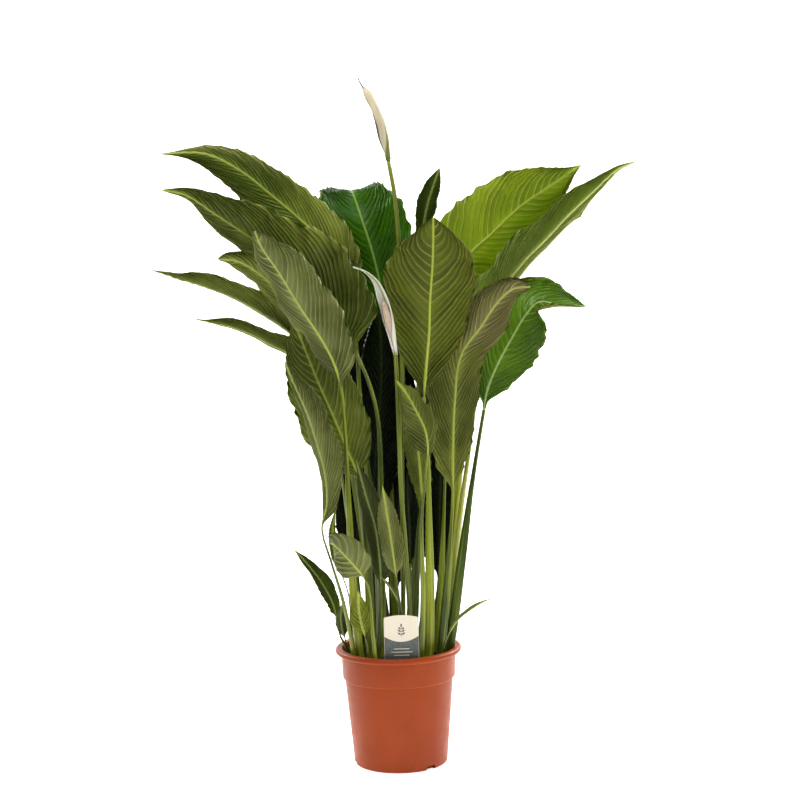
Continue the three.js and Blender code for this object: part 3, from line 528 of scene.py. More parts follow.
def paper_finish():
    """White paper that glows by itself, as painted light: not at the front, more and more towards the plant,
    and fully from beneath it up the rise.
    """
    settings = {"Roughness": 0.9, "Base Color": linear("#f7f7f5"), "Emission Color": linear("#ffffff")}
    material, tree, shader, output = start_material("studio_paper", **settings)
    depth = add(tree, "ShaderNodeSeparateXYZ", {0: object_place(tree)}).outputs["Y"]
    tree.links.new(map_value(tree, depth, -1.2, 0.0, 0.0, 0.75), shader.inputs["Emission Strength"])
    return material


pot_plastic = pot_finish()
peat = peat_finish("moist_peat", dark="#17100b", brown="#2f2117", pale="#4a3626")
perlite = peat_finish("perlite", dark="#cfcac0", brown="#e4e0d8", pale="#b5ada0")
label_cream = card_finish("card_cream", "#e6dcc8")
label_slate = card_finish("card_slate", "#283833")
label_line = card_finish("card_line", "#4b4c3e")
sweep.data.materials.append(paper_finish())
print("materials:", len(bpy.data.materials))

# %% [markdown]
# ## Spines
#
# Every leaf and stalk follows a spine: a smooth curve through a few points. A centripetal Catmull-Rom
# curve passes through all its points without loops, which suits a plant's stems. It is sampled finely
# once, and a place at any distance is then read off by interpolation, for whole grids of points.

# %% Smooth curves
SAMPLES_A_STRETCH = 60


class Spine:
    """A smooth curve through points in millimetres, read by the distance along it, in metres."""

    def __init__(self, points, neck=0):
        knots = np.array(points, float) * MM
        knots = np.vstack([2 * knots[0] - knots[1], knots, 2 * knots[-1] - knots[-2]])
        shares = np.linspace(0, 1, SAMPLES_A_STRETCH, endpoint=False)[:, None]
        places = []
        for a, b, c, d in zip(knots, knots[1:], knots[2:], knots[3:]):
            g0, g1, g2 = (math.sqrt(np.linalg.norm(q - p)) for p, q in ((a, b), (b, c), (c, d)))
            leave = ((b - a) / g0 - (c - a) / (g0 + g1) + (c - b) / g1) * g1
            arrive = ((c - b) / g1 - (d - b) / (g1 + g2) + (d - c) / g2) * g1
            bend = 3 * (c - b) - 2 * leave - arrive
            places.append(b + leave * shares + bend * shares**2 + (2 * (b - c) + leave + arrive) * shares**3)
        self.places = np.vstack(places + [knots[-2][None]])
        steps = np.linalg.norm(np.diff(self.places, axis=0), axis=1)
        self.distances = np.concatenate([[0], np.cumsum(steps)])
        self.ways = np.gradient(self.places, self.distances, axis=0)
        self.length = self.distances[-1]
        self.neck = self.distances[SAMPLES_A_STRETCH * neck]

    def read(self, table, distance):
        """Rows of a table at each distance, by interpolation."""
        flat = np.ravel(distance)
        found = np.stack([np.interp(flat, self.distances, table[:, i]) for i in range(3)], axis=-1)
        return found.reshape(np.shape(distance) + (3,))

    def frame(self, distance, face):
        """Places, and unit vectors along the spine, out of the face, and to the right."""
        along = unit(self.read(self.ways, distance))
        out = unit(face - along * np.sum(face * along, axis=-1, keepdims=True))
        return self.read(self.places, distance), along, out, np.cross(along, out)


def unit(vectors):
    """Vectors brought to length 1."""
    return vectors / np.linalg.norm(vectors, axis=-1, keepdims=True)


def ease(x, low=0.0, high=1.0):
    """Rises smoothly from 0 at low to 1 at high."""
    share = np.clip((x - low) / (high - low), 0, 1)
    return share * share * (3 - 2 * share)


# %% [markdown]
# ## The leaves' table
#
# The table below is the plant's own drawing, in millimetres: for each leaf the points of its spine from
# the foot in the soil to the tip, which of them is the neck where the blade begins, the greatest half
# width, the way the upper side faces at the neck and at the tip, how many degrees each half folds up, and
# the height and number of the broad waves along its edge. Some leaves also give the share of the blade
# at which they are widest, the power by which they narrow from there to the tip, which is blunter the
# smaller it is, the radius of the stem at its foot, and how many times as broad as deep the sheath is.

# %% Leaf table
LEAVES = {
    # in front
    "leaf_04": {
        "spine": [(-62, -30, 162), (-73, -38, 292), (-76, -48, 432), (-79, -60, 586), (-83, -66, 658),
                  (-94, -72, 701), (-114, -80, 743), (-146, -92, 796), (-178, -104, 854),
                  (-204, -112, 896), (-214, -116, 922)],
        "neck": 4, "half": 58, "face": [(0.5, 0.9, 0.3), (0.4, 0.8, 0.5)], "fold": 25, "wave": 4,
        "waves": 3, "widest": 0.5, "tail": 0.6,
    },
    "leaf_05": {
        "spine": [(-50, -20, 162), (-47, -22, 289), (-52, -24, 411), (-58, -27, 494), (-77, -31, 546),
                  (-97, -32, 599), (-125, -32, 671), (-148, -32, 736), (-166, -32, 785)],
        "neck": 3, "half": 62, "face": [(-0.2, 0.9, 0.1), (-0.1, 0.9, 0.2)], "fold": 16, "wave": 3,
        "waves": 2.5,
    },
    "leaf_06": {
        "spine": [(-74, -42, 162), (-78, -45, 215), (-91, -54, 296), (-109, -60, 365),
                  (-122, -65, 419), (-112, -68, 465), (-115, -72, 521), (-127, -74, 572),
                  (-141, -76, 620), (-161, -78, 669), (-176, -80, 709)],
        "neck": 4, "half": 38, "face": [(0.7, 0.6, 0.1), (0.6, 0.7, 0.2)], "fold": 33, "wave": 3,
        "waves": 3, "widest": 0.5, "stem": 3,
    },
    "leaf_15": {
        "spine": [(50, -35, 162), (56, -40, 289), (57, -42, 409), (58, -44, 525), (54, -46, 630),
                  (59, -50, 687), (65, -56, 743), (68, -64, 800), (73, -74, 857), (75, -84, 898),
                  (76, -96, 936)],
        "neck": 4, "half": 82, "face": [(-0.1, 0.9, 0.3), (-0.1, 0.9, 0.4)], "fold": 16, "wave": 3,
        "waves": 2.5, "widest": 0.6, "tail": 0.8, "stem": 5,
    },
    "leaf_16": {
        "spine": [(36, -62, 162), (44, -68, 296), (45, -76, 433), (56, -84, 535), (58, -86, 557),
                  (54, -92, 587), (40, -100, 620), (24, -106, 651), (8, -110, 673)],
        "neck": 3, "half": 30, "face": [(-0.4, 0.8, 0.2), (-0.5, 0.8, 0.4)], "fold": 25, "wave": 2,
        "waves": 2, "stem": 3.4,
    },
    "leaf_17": {
        "spine": [(5, -70, 162), (6, -74, 264), (0, -80, 339), (-3, -82, 368), (-8, -86, 411),
                  (-14, -90, 458), (-19, -94, 497)],
        "neck": 2, "half": 21, "face": [(0, 0.9, 0.2), (0, 0.9, 0.3)], "fold": 15, "wave": 1.5,
        "waves": 2, "stem": 3,
    },
    "leaf_18": {
        "spine": [(-36, -76, 162), (-42, -82, 250), (-46, -88, 322), (-54, -91, 342), (-67, -94, 360),
                  (-81, -95, 377), (-94, -92, 391), (-103, -85, 398), (-108, -76, 397)],
        "neck": 3, "half": 35, "face": [(0.1, 0.9, 0.1), (0.4, 0.6, 0.4)], "fold": 14, "wave": 1.5,
        "waves": 2, "widest": 0.5, "tail": 0.45, "stem": 2.2,
    },
    "leaf_26": {
        "spine": [(-38, -52, 162), (-30, -55, 261), (-26, -57, 316), (-27, -58, 364), (-33, -60, 421),
                  (-48, -61, 478), (-62, -60, 536)],
        "neck": 2, "half": 31, "face": [(0.35, 0.9, 0.1), (0.3, 0.9, 0.2)], "fold": 34, "wave": 3,
        "waves": 2.5, "stem": 3,
    },
    # left
    "leaf_01": {
        "spine": [(-30, 26, 162), (-31, 28, 344), (-51, 38, 570), (-67, 50, 794), (-104, 58, 887),
                  (-148, 64, 932), (-195, 66, 974), (-246, 62, 1017), (-305, 54, 1048),
                  (-386, 44, 1050)],
        "neck": 3, "half": 52, "face": [(0.5, 0.8, -0.1), (0.3, 0.8, -0.7)], "fold": 20, "wave": 5,
        "waves": 3.5, "widest": 0.32, "stem": 5,
    },
    "leaf_02": {
        "spine": [(-28, -2, 162), (-25, 0, 388), (-24, 6, 592), (-38, 10, 657), (-58, 13, 707),
                  (-86, 17, 778), (-138, 17, 842), (-188, 12, 877), (-234, 6, 910), (-286, 0, 947),
                  (-335, -6, 981), (-376, -10, 991)],
        "neck": 4, "half": 78, "face": [(0.6, 0.8, 0.2), (0.3, 0.8, 0.5)], "fold": 24, "wave": 5,
        "waves": 3.5, "widest": 0.32, "stem": 5,
    },
    "leaf_03": {
        "spine": [(-45, 8, 162), (-49, 6, 354), (-70, 1, 546), (-86, -3, 641), (-117, -9, 719),
                  (-165, -20, 792), (-214, -33, 848), (-250, -38, 870), (-282, -38, 874)],
        "neck": 3, "half": 46, "face": [(0.4, 0.8, 0.3), (0.2, 0.8, 0.6)], "fold": 22, "wave": 4,
        "waves": 3, "tail": 0.6,
    },
    "leaf_07": {
        "spine": [(-52, 40, 162), (-48, 45, 275), (-67, 49, 452), (-85, 50, 575), (-107, 49, 666),
                  (-150, 45, 723), (-201, 44, 764), (-256, 33, 800), (-323, 15, 830), (-402, 0, 858)],
        "neck": 4, "half": 55, "face": [(0.4, 0.3, 0.8), (0.2, 0.1, 0.9)], "fold": 35, "wave": 4,
        "waves": 3,
    },
    "leaf_08": {
        "spine": [(-64, 22, 162), (-66, 24, 280), (-83, 24, 440), (-95, 22, 551), (-115, 18, 634),
                  (-152, 9, 695), (-203, -1, 727), (-251, -10, 753), (-334, -18, 776)],
        "neck": 4, "half": 32, "face": [(0.4, 0.4, 0.8), (0.2, 0.3, 0.9)], "fold": 32, "wave": 3,
        "waves": 3, "stem": 3,
    },
    "leaf_19": {
        "spine": [(-79, -19, 162), (-87, -21, 203), (-98, -22, 226), (-104, -24, 259),
                  (-110, -27, 286), (-127, -31, 322), (-148, -35, 353), (-173, -38, 384)],
        "neck": 3, "half": 18, "face": [(0.3, -0.6, 0.5), (0.5, -0.5, 0.7)], "fold": 15, "wave": 1.5,
        "waves": 2, "stem": 2,
    },
    "leaf_20": {
        "spine": [(-80, 13, 162), (-86, 12, 192), (-92, 10, 217), (-96, 8, 236), (-97, 6, 257),
                  (-92, 3, 280)],
        "neck": 2, "half": 12, "face": [(0, 0.9, 0), (0, 0.9, 0)], "fold": 25, "wave": 0.6, "waves": 1,
        "stem": 1.8,
    },
    "leaf_21": {
        "spine": [(-50, -70, 162), (-51, -72, 217), (-55, -74, 238), (-60, -76, 258), (-64, -78, 284),
                  (-64, -80, 317)],
        "neck": 2, "half": 19, "face": [(0, 0.9, 0.2), (0, 0.9, 0.3)], "fold": 20, "wave": 1,
        "waves": 1.5, "stem": 2,
    },
    "leaf_28": {
        "spine": [(-76, -8, 162), (-79, -10, 217), (-82, -12, 296), (-91, -14, 326), (-103, -17, 365),
                  (-105, -20, 410), (-99, -22, 452)],
        "neck": 3, "half": 9, "face": [(0.3, 0.9, 0), (-0.6, 0.6, 0)], "fold": 30, "wave": 1.5,
        "waves": 1.5, "stem": 2,
    },
    # right
    "leaf_11": {
        "spine": [(66, 30, 162), (84, 36, 272), (107, 47, 451), (122, 56, 566), (126, 66, 703),
                  (116, 73, 806), (138, 78, 862), (179, 84, 900), (226, 90, 942), (273, 94, 973),
                  (336, 96, 1013)],
        "neck": 5, "half": 79, "face": [(-0.2, 0.9, 0.1), (-0.1, 0.9, 0.2)], "fold": 15, "wave": 3,
        "waves": 3, "widest": 0.35, "stem": 5,
    },
    "leaf_12": {
        "spine": [(76, 14, 162), (92, 17, 238), (109, 24, 399), (133, 36, 551), (152, 52, 671),
                  (171, 63, 776), (206, 64, 822), (234, 62, 855), (267, 60, 886), (307, 58, 927),
                  (351, 56, 967), (391, 54, 1002), (429, 52, 1018)],
        "neck": 4, "half": 49, "face": [(-0.7, 0.6, 0.4), (-0.4, 0.7, 0.6)], "fold": 26, "wave": 4,
        "waves": 4, "widest": 0.36, "stem": 5,
    },
    "leaf_13": {
        "spine": [(70, -16, 162), (83, -13, 283), (93, -14, 387), (99, -14, 464), (101, -15, 541),
                  (106, -16, 623), (118, -18, 702), (153, -24, 750), (180, -30, 789), (207, -36, 812),
                  (235, -42, 815)],
        "neck": 3, "half": 51, "face": [(-0.3, 0.9, 0.1), (-0.1, 0.9, 0.3)], "fold": 18, "wave": 3,
        "waves": 3.5, "widest": 0.52, "tail": 0.6,
    },
    "leaf_14": {
        "spine": [(79, -5, 162), (95, -3, 240), (113, 3, 355), (131, 8, 468), (156, 12, 604),
                  (164, 15, 641), (183, 18, 684), (206, 20, 724), (230, 22, 762), (252, 20, 784),
                  (282, 10, 782), (307, -2, 780), (332, -12, 777)],
        "neck": 4, "half": 72, "face": [(-0.2, -0.9, 0.3), (0.1, -0.1, 0.9)], "fold": 14, "wave": 4,
        "waves": 3.5, "widest": 0.54, "tail": 0.9, "stem": 5.4,
    },
    "leaf_22": {
        "spine": [(70, -45, 162), (77, -48, 209), (86, -50, 232), (102, -52, 256), (123, -54, 273),
                  (145, -54, 286), (167, -52, 294)],
        "neck": 2, "half": 9, "face": [(-0.5, 0.3, 0.7), (-0.2, 0.3, 0.9)], "fold": 30, "wave": 1,
        "waves": 1.5, "stem": 1.8,
    },
    # among the stems
    "leaf_09": {
        "spine": [(-5, 62, 162), (-7, 66, 339), (-8, 76, 566), (-11, 84, 730), (-15, 94, 816),
                  (-28, 108, 876), (-45, 132, 931), (-57, 172, 966), (-64, 222, 977), (-70, 275, 959)],
        "neck": 3, "half": 77, "face": [(-0.1, -0.9, 0.2), (0, 0.3, 0.9)], "fold": 14, "wave": 5,
        "waves": 3.5, "widest": 0.5, "stem": 5,
    },
    "leaf_10": {
        "spine": [(20, 63, 162), (35, 61, 339), (44, 58, 567), (52, 52, 791), (56, 50, 876),
                  (62, 49, 920), (70, 47, 955), (80, 45, 985), (91, 42, 1014)],
        "neck": 4, "half": 21, "face": [(-0.2, -0.9, 0.1), (-0.1, -0.9, 0.1)], "fold": 30, "wave": 2,
        "waves": 2.5, "widest": 0.55, "tail": 0.8,
    },
    "leaf_23": {
        "spine": [(15, 25, 162), (20, 24, 241), (24, 24, 340), (25, 23, 390), (24, 21, 445),
                  (23, 18, 500)],
        "neck": 2, "half": 21, "face": [(0.1, -0.9, 0), (0.1, -0.9, 0)], "fold": 22, "wave": 1.5,
        "waves": 2, "stem": 4,
    },
    "leaf_24": {
        "spine": [(61, 8, 162), (74, 10, 278), (83, 12, 416), (89, 14, 523), (93, 12, 580),
                  (91, 10, 649), (87, 8, 717)],
        "neck": 3, "half": 18, "face": [(0, 0.9, 0), (0, 0.9, 0.2)], "fold": 35, "wave": 2, "waves": 2,
        "stem": 3.8,
    },
    "leaf_25": {
        "spine": [(-15, 52, 162), (-26, 57, 272), (-37, 65, 402), (-35, 68, 473), (-27, 70, 552),
                  (-19, 73, 629), (-16, 77, 700), (-18, 84, 768)],
        "neck": 2, "half": 48, "face": [(0, -0.9, 0.1), (0, -0.8, 0.4)], "fold": 18, "wave": 3,
        "waves": 3, "widest": 0.5, "tail": 0.6, "stem": 6,
    },
    "leaf_27": {
        "spine": [(2, -56, 162), (3, -60, 226), (2, -62, 292), (-9, -64, 315), (-26, -66, 338)],
        "neck": 2, "half": 6, "face": [(0.5, 0.7, 0.5), (0.5, 0.7, 0.5)], "fold": 20, "wave": 0.6,
        "waves": 1, "stem": 1.8,
    },
    "leaf_29": {
        "spine": [(22, -15, 162), (31, -17, 285), (39, -18, 406), (46, -19, 457), (45, -18, 500),
                  (42, -17, 546), (38, -14, 597), (32, -10, 653)],
        "neck": 3, "half": 25, "face": [(0, 0.9, 0), (0, 0.9, 0.2)], "fold": 25, "wave": 2,
        "waves": 2.5, "stem": 4.8,
    },
    # behind
    "leaf_30": {
        "spine": [(36, 46, 162), (61, 82, 338), (75, 120, 542), (95, 146, 626), (114, 184, 701),
                  (129, 225, 741), (145, 280, 739)],
        "neck": 2, "half": 58, "face": [(-0.5, -0.6, 0.5), (-0.2, -0.2, 0.9)], "fold": 20, "wave": 4,
        "waves": 3, "widest": 0.3, "stem": 5, "broad": 2.3,
    },
    "leaf_31": {
        "spine": [(-32, 64, 162), (-35, 76, 337), (-47, 105, 563), (-60, 130, 674), (-77, 170, 754),
                  (-97, 220, 797), (-117, 275, 801)],
        "neck": 2, "half": 48, "face": [(0.3, -0.6, 0.5), (0.1, -0.2, 0.9)], "fold": 20, "wave": 4,
        "waves": 3, "stem": 5, "broad": 2.8,
    },
    "leaf_32": {
        "spine": [(0, 76, 162), (0, 92, 280), (6, 104, 392), (11, 111, 470), (16, 118, 552),
                  (18, 124, 632), (20, 148, 704), (20, 184, 752)],
        "neck": 1, "half": 44, "face": [(0, -0.9, 0.1), (0, -0.8, 0.4)], "fold": 18, "wave": 4,
        "waves": 3, "widest": 0.3, "stem": 5, "broad": 2.8,
    },
    "leaf_33": {
        "spine": [(-64, 50, 162), (-67, 62, 305), (-92, 92, 480), (-104, 110, 551), (-122, 150, 612),
                  (-138, 196, 639), (-151, 240, 631)],
        "neck": 1, "half": 40, "face": [(0.4, -0.5, 0.6), (0.2, -0.1, 0.9)], "fold": 22, "wave": 3,
        "waves": 3, "widest": 0.3,
    },
    "leaf_34": {
        "spine": [(54, 58, 162), (73, 67, 300), (79, 79, 424), (84, 82, 512), (84, 98, 598),
                  (86, 124, 672), (94, 164, 724)],
        "neck": 1, "half": 38, "face": [(-0.2, -0.9, 0.2), (-0.1, -0.7, 0.5)], "fold": 20, "wave": 3,
        "waves": 3, "widest": 0.3, "broad": 2.2,
    },
}

# What the table leaves out.
WIDEST = 0.4
TAIL = 1
STEM_RADIUS = 4.8
SHEATH_BREADTH = 1.8

# Underside, upper side and stem of the leaves with these numbers. The rest have the usual three.
USUAL = ("under_olive", "upper_green", "stem_green")
LOOKS = {
    ("under_painted_light", "upper_green", "stem_green"): [1, 3, 5, 7, 8],
    ("under_grey", "upper_green", "stem_yellow"): [4, 18],
    ("under_grey", "upper_green", "stem_green"): [6, 17],
    ("under_olive", "upper_olive", "stem_green"): [10, 19],
    ("under_painted_backlight", "upper_painted_highlight", "stem_yellow"): [11],
    ("under_painted_strong_light", "upper_painted_highlight", "stem_cream"): [12],
    ("under_aging", "upper_green", "stem_green"): [13],
    ("under_olive", "upper_painted_highlight", "stem_painted_shade"): [14],
    ("under_shaded", "upper_green", "stem_yellow"): [15],
    ("under_dull", "upper_green", "stem_painted_shade"): [20],
    ("under_painted_backlight", "upper_green", "stem_green"): [21],
    # Painted shade: the leaves deep among the stems take the nearly black finishes and the dark stems.
    ("under_painted_shade", "upper_painted_shade", "stem_painted_shade"): [23, 25, 30, 31, 32, 33, 34],
    ("under_olive", "upper_green", "stem_yellow"): [24],
    ("under_dull", "upper_painted_shade", "stem_painted_shade"): [26],
    ("under_dull", "upper_olive", "stem_green"): [27],
}
look_of = {f"leaf_{number:02d}": look for look, numbers in LOOKS.items() for number in numbers}
print("leaves:", len(LEAVES), "of which", len(look_of), "with a look of their own")

# %% [markdown]
# ## One leaf as a closed skin
#
# A leaf is a skin of rings, like a sleeve. Below the neck each ring is round. Above it the rings flatten
# to a thin section with the midrib as a ridge below, and they also sweep forward like the side veins,
# so that later each pleat lies along the mesh and stays crisp. Near the neck the edge runs ahead
# quickly, and near the tip it closes up: two simple powers of one parameter give that.
#
# Besides its places, each point stores what the pleats need: which side vein it is near, how far across
# it lies, how far along the edge, how much of a blade it is, and the way out of the upper face.

# %% Rows and columns of a leaf
COLUMNS = 12  # to each side of the midrib
RIB_COLUMNS = 2  # of those, on the midrib itself
ROWS_A_PLEAT = 8
STEM_ROW = 18 * MM
GROWN_HALF = 55  # half width of a full-grown leaf, in millimetres
YOUNG_PLEAT = 0.45  # a pleat of the smallest leaf, over one of a full-grown leaf
FEWEST_PLEATS = 8
RIB_POWER = 1.35  # the rows leave the neck slowly on the midrib,
EDGE_POWER = 1.9  # and run ahead on the edge
VEIN_STRAIGHT = 0.62  # how evenly a side vein runs forward; the rest bends towards the edge
COLUMN_POWER = 1.15  # the columns lie a little closer near the midrib


def leaf_rings(leaf, spine):
    """Distance along the spine, blade share, side vein and column of each point of the leaf."""
    blade = spine.length - spine.neck
    spacing = PLEAT * (YOUNG_PLEAT + (1 - YOUNG_PLEAT) * min(1, leaf["half"] / GROWN_HALF))
    pleats = max(FEWEST_PLEATS, round(blade / spacing))
    q = np.linspace(0, 1, ROWS_A_PLEAT * pleats + 1)[:, None]
    column = np.arange(-COLUMNS, COLUMNS + 1)
    past_rib = np.clip((np.abs(column) - RIB_COLUMNS) / (COLUMNS - RIB_COLUMNS), 0, 1) ** COLUMN_POWER
    at_rib = q**RIB_POWER
    at_edge = 1 - (1 - q) ** EDGE_POWER
    share = at_rib + (at_edge - at_rib) * (VEIN_STRAIGHT * past_rib + (1 - VEIN_STRAIGHT) * past_rib**2)
    stem_rows = max(4, round(spine.neck / STEM_ROW))
    stem = np.linspace(0, spine.neck, stem_rows, endpoint=False)[:, None] + 0 * column
    distance = np.vstack([stem, spine.neck + blade * share])
    share = np.vstack([0 * stem, share])
    vein = np.vstack([stem / PLEAT - spine.neck / PLEAT, q * pleats + 0 * column])
    return distance, share, vein, column, past_rib, stem_rows


# %% [markdown]
# A leaf's outline rises quickly from the neck and closes slowly to the tip, so its width is a product of
# two powers. No edge is a clean curve: two sines of unlike length add shallow scallops, other ones on
# each side and each leaf.

# %% Width of a blade
SCALLOP = 0.035  # how far the edge swings in and out, over the half width
SCALLOP_LENGTH = 42 * MM
TIP_WIDTH = 0.35 * MM
TIP_DRAWN = 0.4  # how much of the width is gone where the tip is drawn out


def outline(s, widest, tail):
    """Half width of a blade at share s, over its greatest: rises and falls as powers, to a drawn-out tip."""
    rise = tail * widest / (1 - widest)
    drawn = 1 - TIP_DRAWN * ease(s, 0.8, 0.97) * ease(tail, 0.4, 1.0)
    return (s / widest) ** rise * ((1 - s) / (1 - widest)) ** tail * drawn


def half_width(leaf, share, column, blade):
    """Half width of the blade, with small scallops that differ from side to side and leaf to leaf."""
    beat = 2 * math.pi * (share * blade / SCALLOP_LENGTH) + np.where(column > 0, 0.0, 2.5) + leaf["half"]
    swing = 0.6 * np.sin(beat) + 0.5 * np.sin(1.73 * beat + 1)
    smooth = leaf["half"] * MM * outline(share, leaf.get("widest", WIDEST), leaf.get("tail", TAIL))
    return np.maximum(smooth * (1 + SCALLOP * swing), TIP_WIDTH)


# %% [markdown]
# The petiole clasps its neighbours with a broad sheath at the foot and is round above it. In the blade
# the section is an arc for each half, folded up from the midrib. Both are written for whole grids of
# points at once, and the skin blends from one to the other just above the neck.

# %% Sections of stem and blade
STEM_TAPER = 0.55  # radius at the neck over radius at the foot
SHEATH_HOLD = 0.4  # the sheath at the foot keeps its breadth up to this share of the stem,
SHEATH_SHARE = 0.85  # and the stem is round from this one
BLADE_THICKNESS = 0.8 * MM
RIB_SHARE = 0.6  # half width of the midrib at the neck, over the stem's radius at the foot
RIB_TAPER = 0.15  # half width of the midrib at the tip, over that at the neck
RIB_GROOVE = 0.35  # depth of the groove over the midrib, over its half width
NECK_BLEND = 0.12  # up to this share of the blade, the stem's round section flattens
WAVE_SHIFT = 2.0  # radians between the waves of the two edges


def stem_section(leaf, share, column):
    """Reach to the side and outwards of the upper half, and the way round, of an oval or round stem."""
    radius = leaf.get("stem", STEM_RADIUS) * MM * (1 - (1 - STEM_TAPER) * share)
    sheath = 1 - ease(share, SHEATH_HOLD, SHEATH_SHARE)
    broad = 1 + (leaf.get("broad", SHEATH_BREADTH) - 1) * sheath
    angle = math.pi / 2 * (1 - column / COLUMNS)
    return broad * radius * np.cos(angle), radius * np.sin(angle), radius * (math.pi / 2 - angle)


def blade_section(leaf, share, column, past_rib, half):
    """Reach to the side and outwards of both halves of a folded and waved blade.

    Also its place across, in metres and as a share of the half width, and how far it is turned up."""
    stem = leaf.get("stem", STEM_RADIUS) * MM
    rib = np.minimum(RIB_SHARE * stem * (1 - (1 - RIB_TAPER) * share), 0.5 * half)
    on_rib = np.clip(np.abs(column) / RIB_COLUMNS, 0, 1)
    across = np.sign(column) * (rib * on_rib + (half - rib) * past_rib)
    u = across / half
    fold = 2 * math.radians(leaf["fold"])
    turn = u * fold
    bend = half / fold
    swell = np.sin(2 * math.pi * leaf["waves"] * share + np.where(u > 0, WAVE_SHIFT, 0.0))
    wave = leaf["wave"] * MM * u**2 * np.sin(math.pi * share) * swell
    edge = np.sqrt(np.clip(1 - u**8, 0, 1))
    dome = np.sqrt(np.clip(1 - on_rib**2, 0, 1))
    halves = []
    for sign, ridge in ((1, -RIB_GROOVE * rib), (-1, -stem * STEM_TAPER * (1 - share))):
        lift = sign * 0.5 * BLADE_THICKNESS * edge + ridge * dome
        halves.append(((bend - lift) * np.sin(turn), bend * (1 - np.cos(turn)) + lift * np.cos(turn) + wave))
    return halves, across, u, turn


# %% [markdown]
# Both sides of the blade and the stem are one closed mesh, as a leaf is. A number on each face says
# which finish it takes, and named attributes carry to the nodes what they need at each point.

# %% Leaf skin
UPPER, UNDER, STEM = 0, 1, 2  # the places of the three finishes
FULL_RELIEF = 18 * MM  # half width from which a blade has its full relief


def around(upper, lower):
    """Closes rings of points or values: the upper half from left to right, and the lower half back."""
    return np.concatenate([upper, lower[:, 1:-1][:, ::-1]], axis=1)


def set_attribute(mesh, name, kind, domain, values):
    """Stores one value a point or a face for the Geometry Nodes."""
    field = "vector" if kind == "FLOAT_VECTOR" else "value"
    mesh.attributes.new(name, kind, domain).data.foreach_set(field, np.ravel(values))


def finish_of_faces(rows, columns, stem_rows):
    """Upper side, underside or stem, for each face of the rings and for the two caps."""
    finish = np.full((rows - 1, columns), UNDER)
    finish[:, : 2 * COLUMNS] = UPPER
    middle = 3 * COLUMNS
    finish[:, middle - RIB_COLUMNS : middle + RIB_COLUMNS] = STEM
    finish[: stem_rows + 1] = STEM
    return np.concatenate([np.ravel(finish), [STEM, UNDER]]).astype(np.int32)


def leaf_skin(name, leaf):
    """The mesh of one leaf, with finishes by side and with the attributes that the pleats read."""
    spine = Spine(leaf["spine"], leaf["neck"])
    blade = spine.length - spine.neck
    distance, share, vein, column, past_rib, stem_rows = leaf_rings(leaf, spine)
    neck_face, tip_face = (np.array(f, float) for f in leaf["face"])
    at, _, out, side = spine.frame(distance, neck_face + (tip_face - neck_face) * share[..., None])

    half = half_width(leaf, share, column, blade)
    stem_side, stem_out, way_round = stem_section(leaf, np.clip(distance / spine.neck, 0, 1), column)
    halves, across, u, turn = blade_section(leaf, share, column, past_rib, half)
    flat = ease(share, 0, NECK_BLEND)
    skins = []
    for sign, (blade_side, blade_out) in zip((1, -1), halves):
        tube = side * stem_side[..., None] + out * (sign * stem_out)[..., None]
        sheet = side * blade_side[..., None] + out * blade_out[..., None]
        skins.append(at + tube * (1 - flat[..., None]) + sheet * flat[..., None])
    places = around(*skins)

    veins = around(vein, vein)
    shares = around(share, share)
    u_around = around(u, u)
    metres_across = np.where(share > 0, across, way_round)
    mesh = ring_mesh(name, places, around(metres_across, metres_across), veins * PLEAT)
    add_plane(mesh, "shares", u_around, shares)
    relief_share = flat * np.clip(half / FULL_RELIEF, 0, 1)
    scalars = {"vein": veins, "across": u_around, "edge": shares * blade,
               "blade": around(relief_share, relief_share)}
    for key, values in scalars.items():
        set_attribute(mesh, key, "FLOAT", "POINT", values.astype(np.float32))
    lifted = unit(out * np.cos(turn)[..., None] - side * np.sin(turn)[..., None])
    set_attribute(mesh, "lift", "FLOAT_VECTOR", "POINT", around(lifted, lifted).astype(np.float32))
    set_attribute(mesh, "finish", "INT", "FACE", finish_of_faces(*places.shape[:2], stem_rows))
    return mesh


def ring_mesh(name, places, u, v):
    """A closed skin over rings of points: rows one after another, capped at both ends."""
    rows, columns = places.shape[:2]
    index = np.arange(rows * columns).reshape(rows, columns)
    after = np.roll(index, -1, axis=1)
    quads = np.stack([index[:-1], index[1:], after[1:], after[:-1]], axis=-1).reshape(-1, 4)
    faces = [tuple(q) for q in quads.tolist()]
    faces.append(tuple(index[0].tolist()))
    faces.append(tuple(index[-1][::-1].tolist()))
    mesh = bpy.data.meshes.new(name)
    mesh.from_pydata(places.reshape(-1, 3).tolist(), [], faces)
    add_plane(mesh, "leaf", u, v)
    mesh.polygons.foreach_set("use_smooth", np.ones(len(mesh.polygons), bool))
    mesh.update()
    return mesh


def add_plane(mesh, name, u, v):
    """A UV map from two values a point."""
    corners = np.empty(len(mesh.loops), np.int32)
    mesh.loops.foreach_get("vertex_index", corners)
    plane = np.stack([np.ravel(u), np.ravel(v)], axis=-1)[corners]
    mesh.uv_layers.new(name=name).data.foreach_set("uv", np.ravel(plane).astype(np.float32))


# %% [markdown]
# ## Pleats and ruffles with Geometry Nodes
#
# Between two side veins the blade bulges towards its upper side, and the outer edge is thrown into small
# uneven ruffles. Both follow a rule on the whole surface, so one Geometry Nodes tree moves the points
# of every leaf: a rectified sine of the vein count makes rounded pleats with sharp valleys, and noise
# along the edge makes the ruffles. The tree has an input for each size and a seed. It also sets the
# three finishes by a mark on each face, and its result is baked into a plain mesh.

